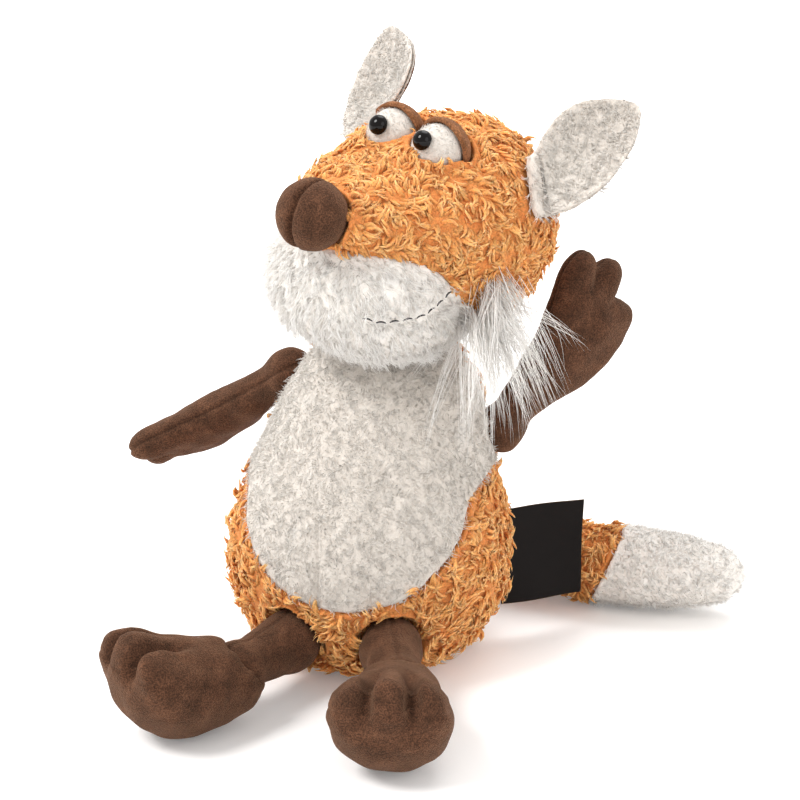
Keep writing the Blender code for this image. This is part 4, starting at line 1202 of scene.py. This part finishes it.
neckRules = {"voxel": .0013, "smooth": 8, "fill": .9}
neckMesh = evenSkin("neckStuffing", ("neck_stuffing",), neckRules["voxel"], neckRules["smooth"])
neckMesh.materials.append(stuffingFibre)
settle(linkObject("neckStuffing", neckMesh), "neck", ("neck_stuffing",))
print("neck stuffed")


# floor, light and camera

studio = {
    "worldStrength": .95, "floorSize": 14, "floorLift": .12, "fadeFrom": .45, "fadeTo": 1.5,
    "lookAt": (.03, 0, .13),
}
lamps = {
    "key": {"place": (-1.3, -1.0, 1.9), "size": .95, "power": 46},
    "fill": {"place": (1.7, -1.3, 1.1), "size": 1.8, "power": 14},
    "top": {"place": (.2, .9, 1.8), "size": 1.4, "power": 18},
}
for name, lamp in lamps.items():
    light = bpy.data.lights.new(name, "AREA")
    light.shape = "DISK"
    light.size = lamp["size"]
    light.energy = lamp["power"]
    lampObject = linkObject(name, light)
    lampObject.location = lamp["place"]
    toObject = Vector(studio["lookAt"]) - lampObject.location
    lampObject.rotation_euler = toObject.to_track_quat("-Z", "Y").to_euler()


def seenDirectly(tree):
    # 1 for what the camera, a reflection or glass sees
    path = addNode(tree, "ShaderNodeLightPath").outputs
    total = path["Is Camera Ray"]
    for name in ("Is Glossy Ray", "Is Transmission Ray"):
        total = addNode(tree, "ShaderNodeMath", {0: total, 1: path[name]}, operation="MAXIMUM").outputs[0]
    return total


world = bpy.data.worlds.new("studio")
bpy.context.scene.world = world
world.use_nodes = True
sky = world.node_tree
sky.nodes["Background"].inputs["Color"].default_value = rgb(255, 255, 255)
brightness = toneFrom(sky, seenDirectly(sky), studio["worldStrength"], 1)
sky.links.new(brightness, sky.nodes["Background"].inputs["Strength"])

floorMesh = bpy.data.meshes.new("floor")
half = studio["floorSize"] / 2
floorMesh.from_pydata(
    [(-half, -half, 0), (half, -half, 0), (half, half, 0), (-half, half, 0)], [], [(0, 1, 2, 3)]
)
floor = linkObject("floor", floorMesh)
floorFinish, floorTree, floorShader = newMaterial(
    "paleFloor", {"Base Color": rgb(246, 244, 242), "Roughness": .7, "Emission Color": rgb(255, 255, 255)}
)
floorPlace = addNode(floorTree, "ShaderNodeTexCoord").outputs["Object"]
reach = addNode(floorTree, "ShaderNodeVectorMath", {0: floorPlace}, operation="LENGTH")
fade = addNode(floorTree, "ShaderNodeMapRange", {
    "Value": reach.outputs["Value"], "From Min": studio["fadeFrom"], "From Max": studio["fadeTo"],
    "To Min": studio["floorLift"], "To Max": 1,
}, interpolation_type="SMOOTHSTEP")
seenFloor = addNode(
    floorTree, "ShaderNodeMath", {0: fade.outputs["Result"], 1: seenDirectly(floorTree)}, operation="MULTIPLY"
)
floorTree.links.new(seenFloor.outputs[0], floorShader.inputs["Emission Strength"])
floorMesh.materials.append(floorFinish)

cameraRules = {
    "place": (.015, -.9986, .4515), "look": (0, .951, -.309), "turn": 10,
    "sensor": 36, "focalPixels": 2187, "imagePixels": 800,
}
cameraData = bpy.data.cameras.new("camera")
cameraData.sensor_width = cameraRules["sensor"]
cameraData.lens = cameraRules["focalPixels"] / cameraRules["imagePixels"] * cameraRules["sensor"]
camera = linkObject("camera", cameraData)
turnAbout = turnOf(cameraRules["turn"], "Z")
sight = turnAbout @ Vector(cameraRules["look"]).normalized()
eyePoint = Matrix.Translation(turnAbout @ Vector(cameraRules["place"]))
camera.matrix_world = eyePoint @ sight.to_track_quat("-Z", "Y").to_matrix().to_4x4()
bpy.context.scene.camera = camera
bpy.context.scene.view_settings.view_transform = "Standard"
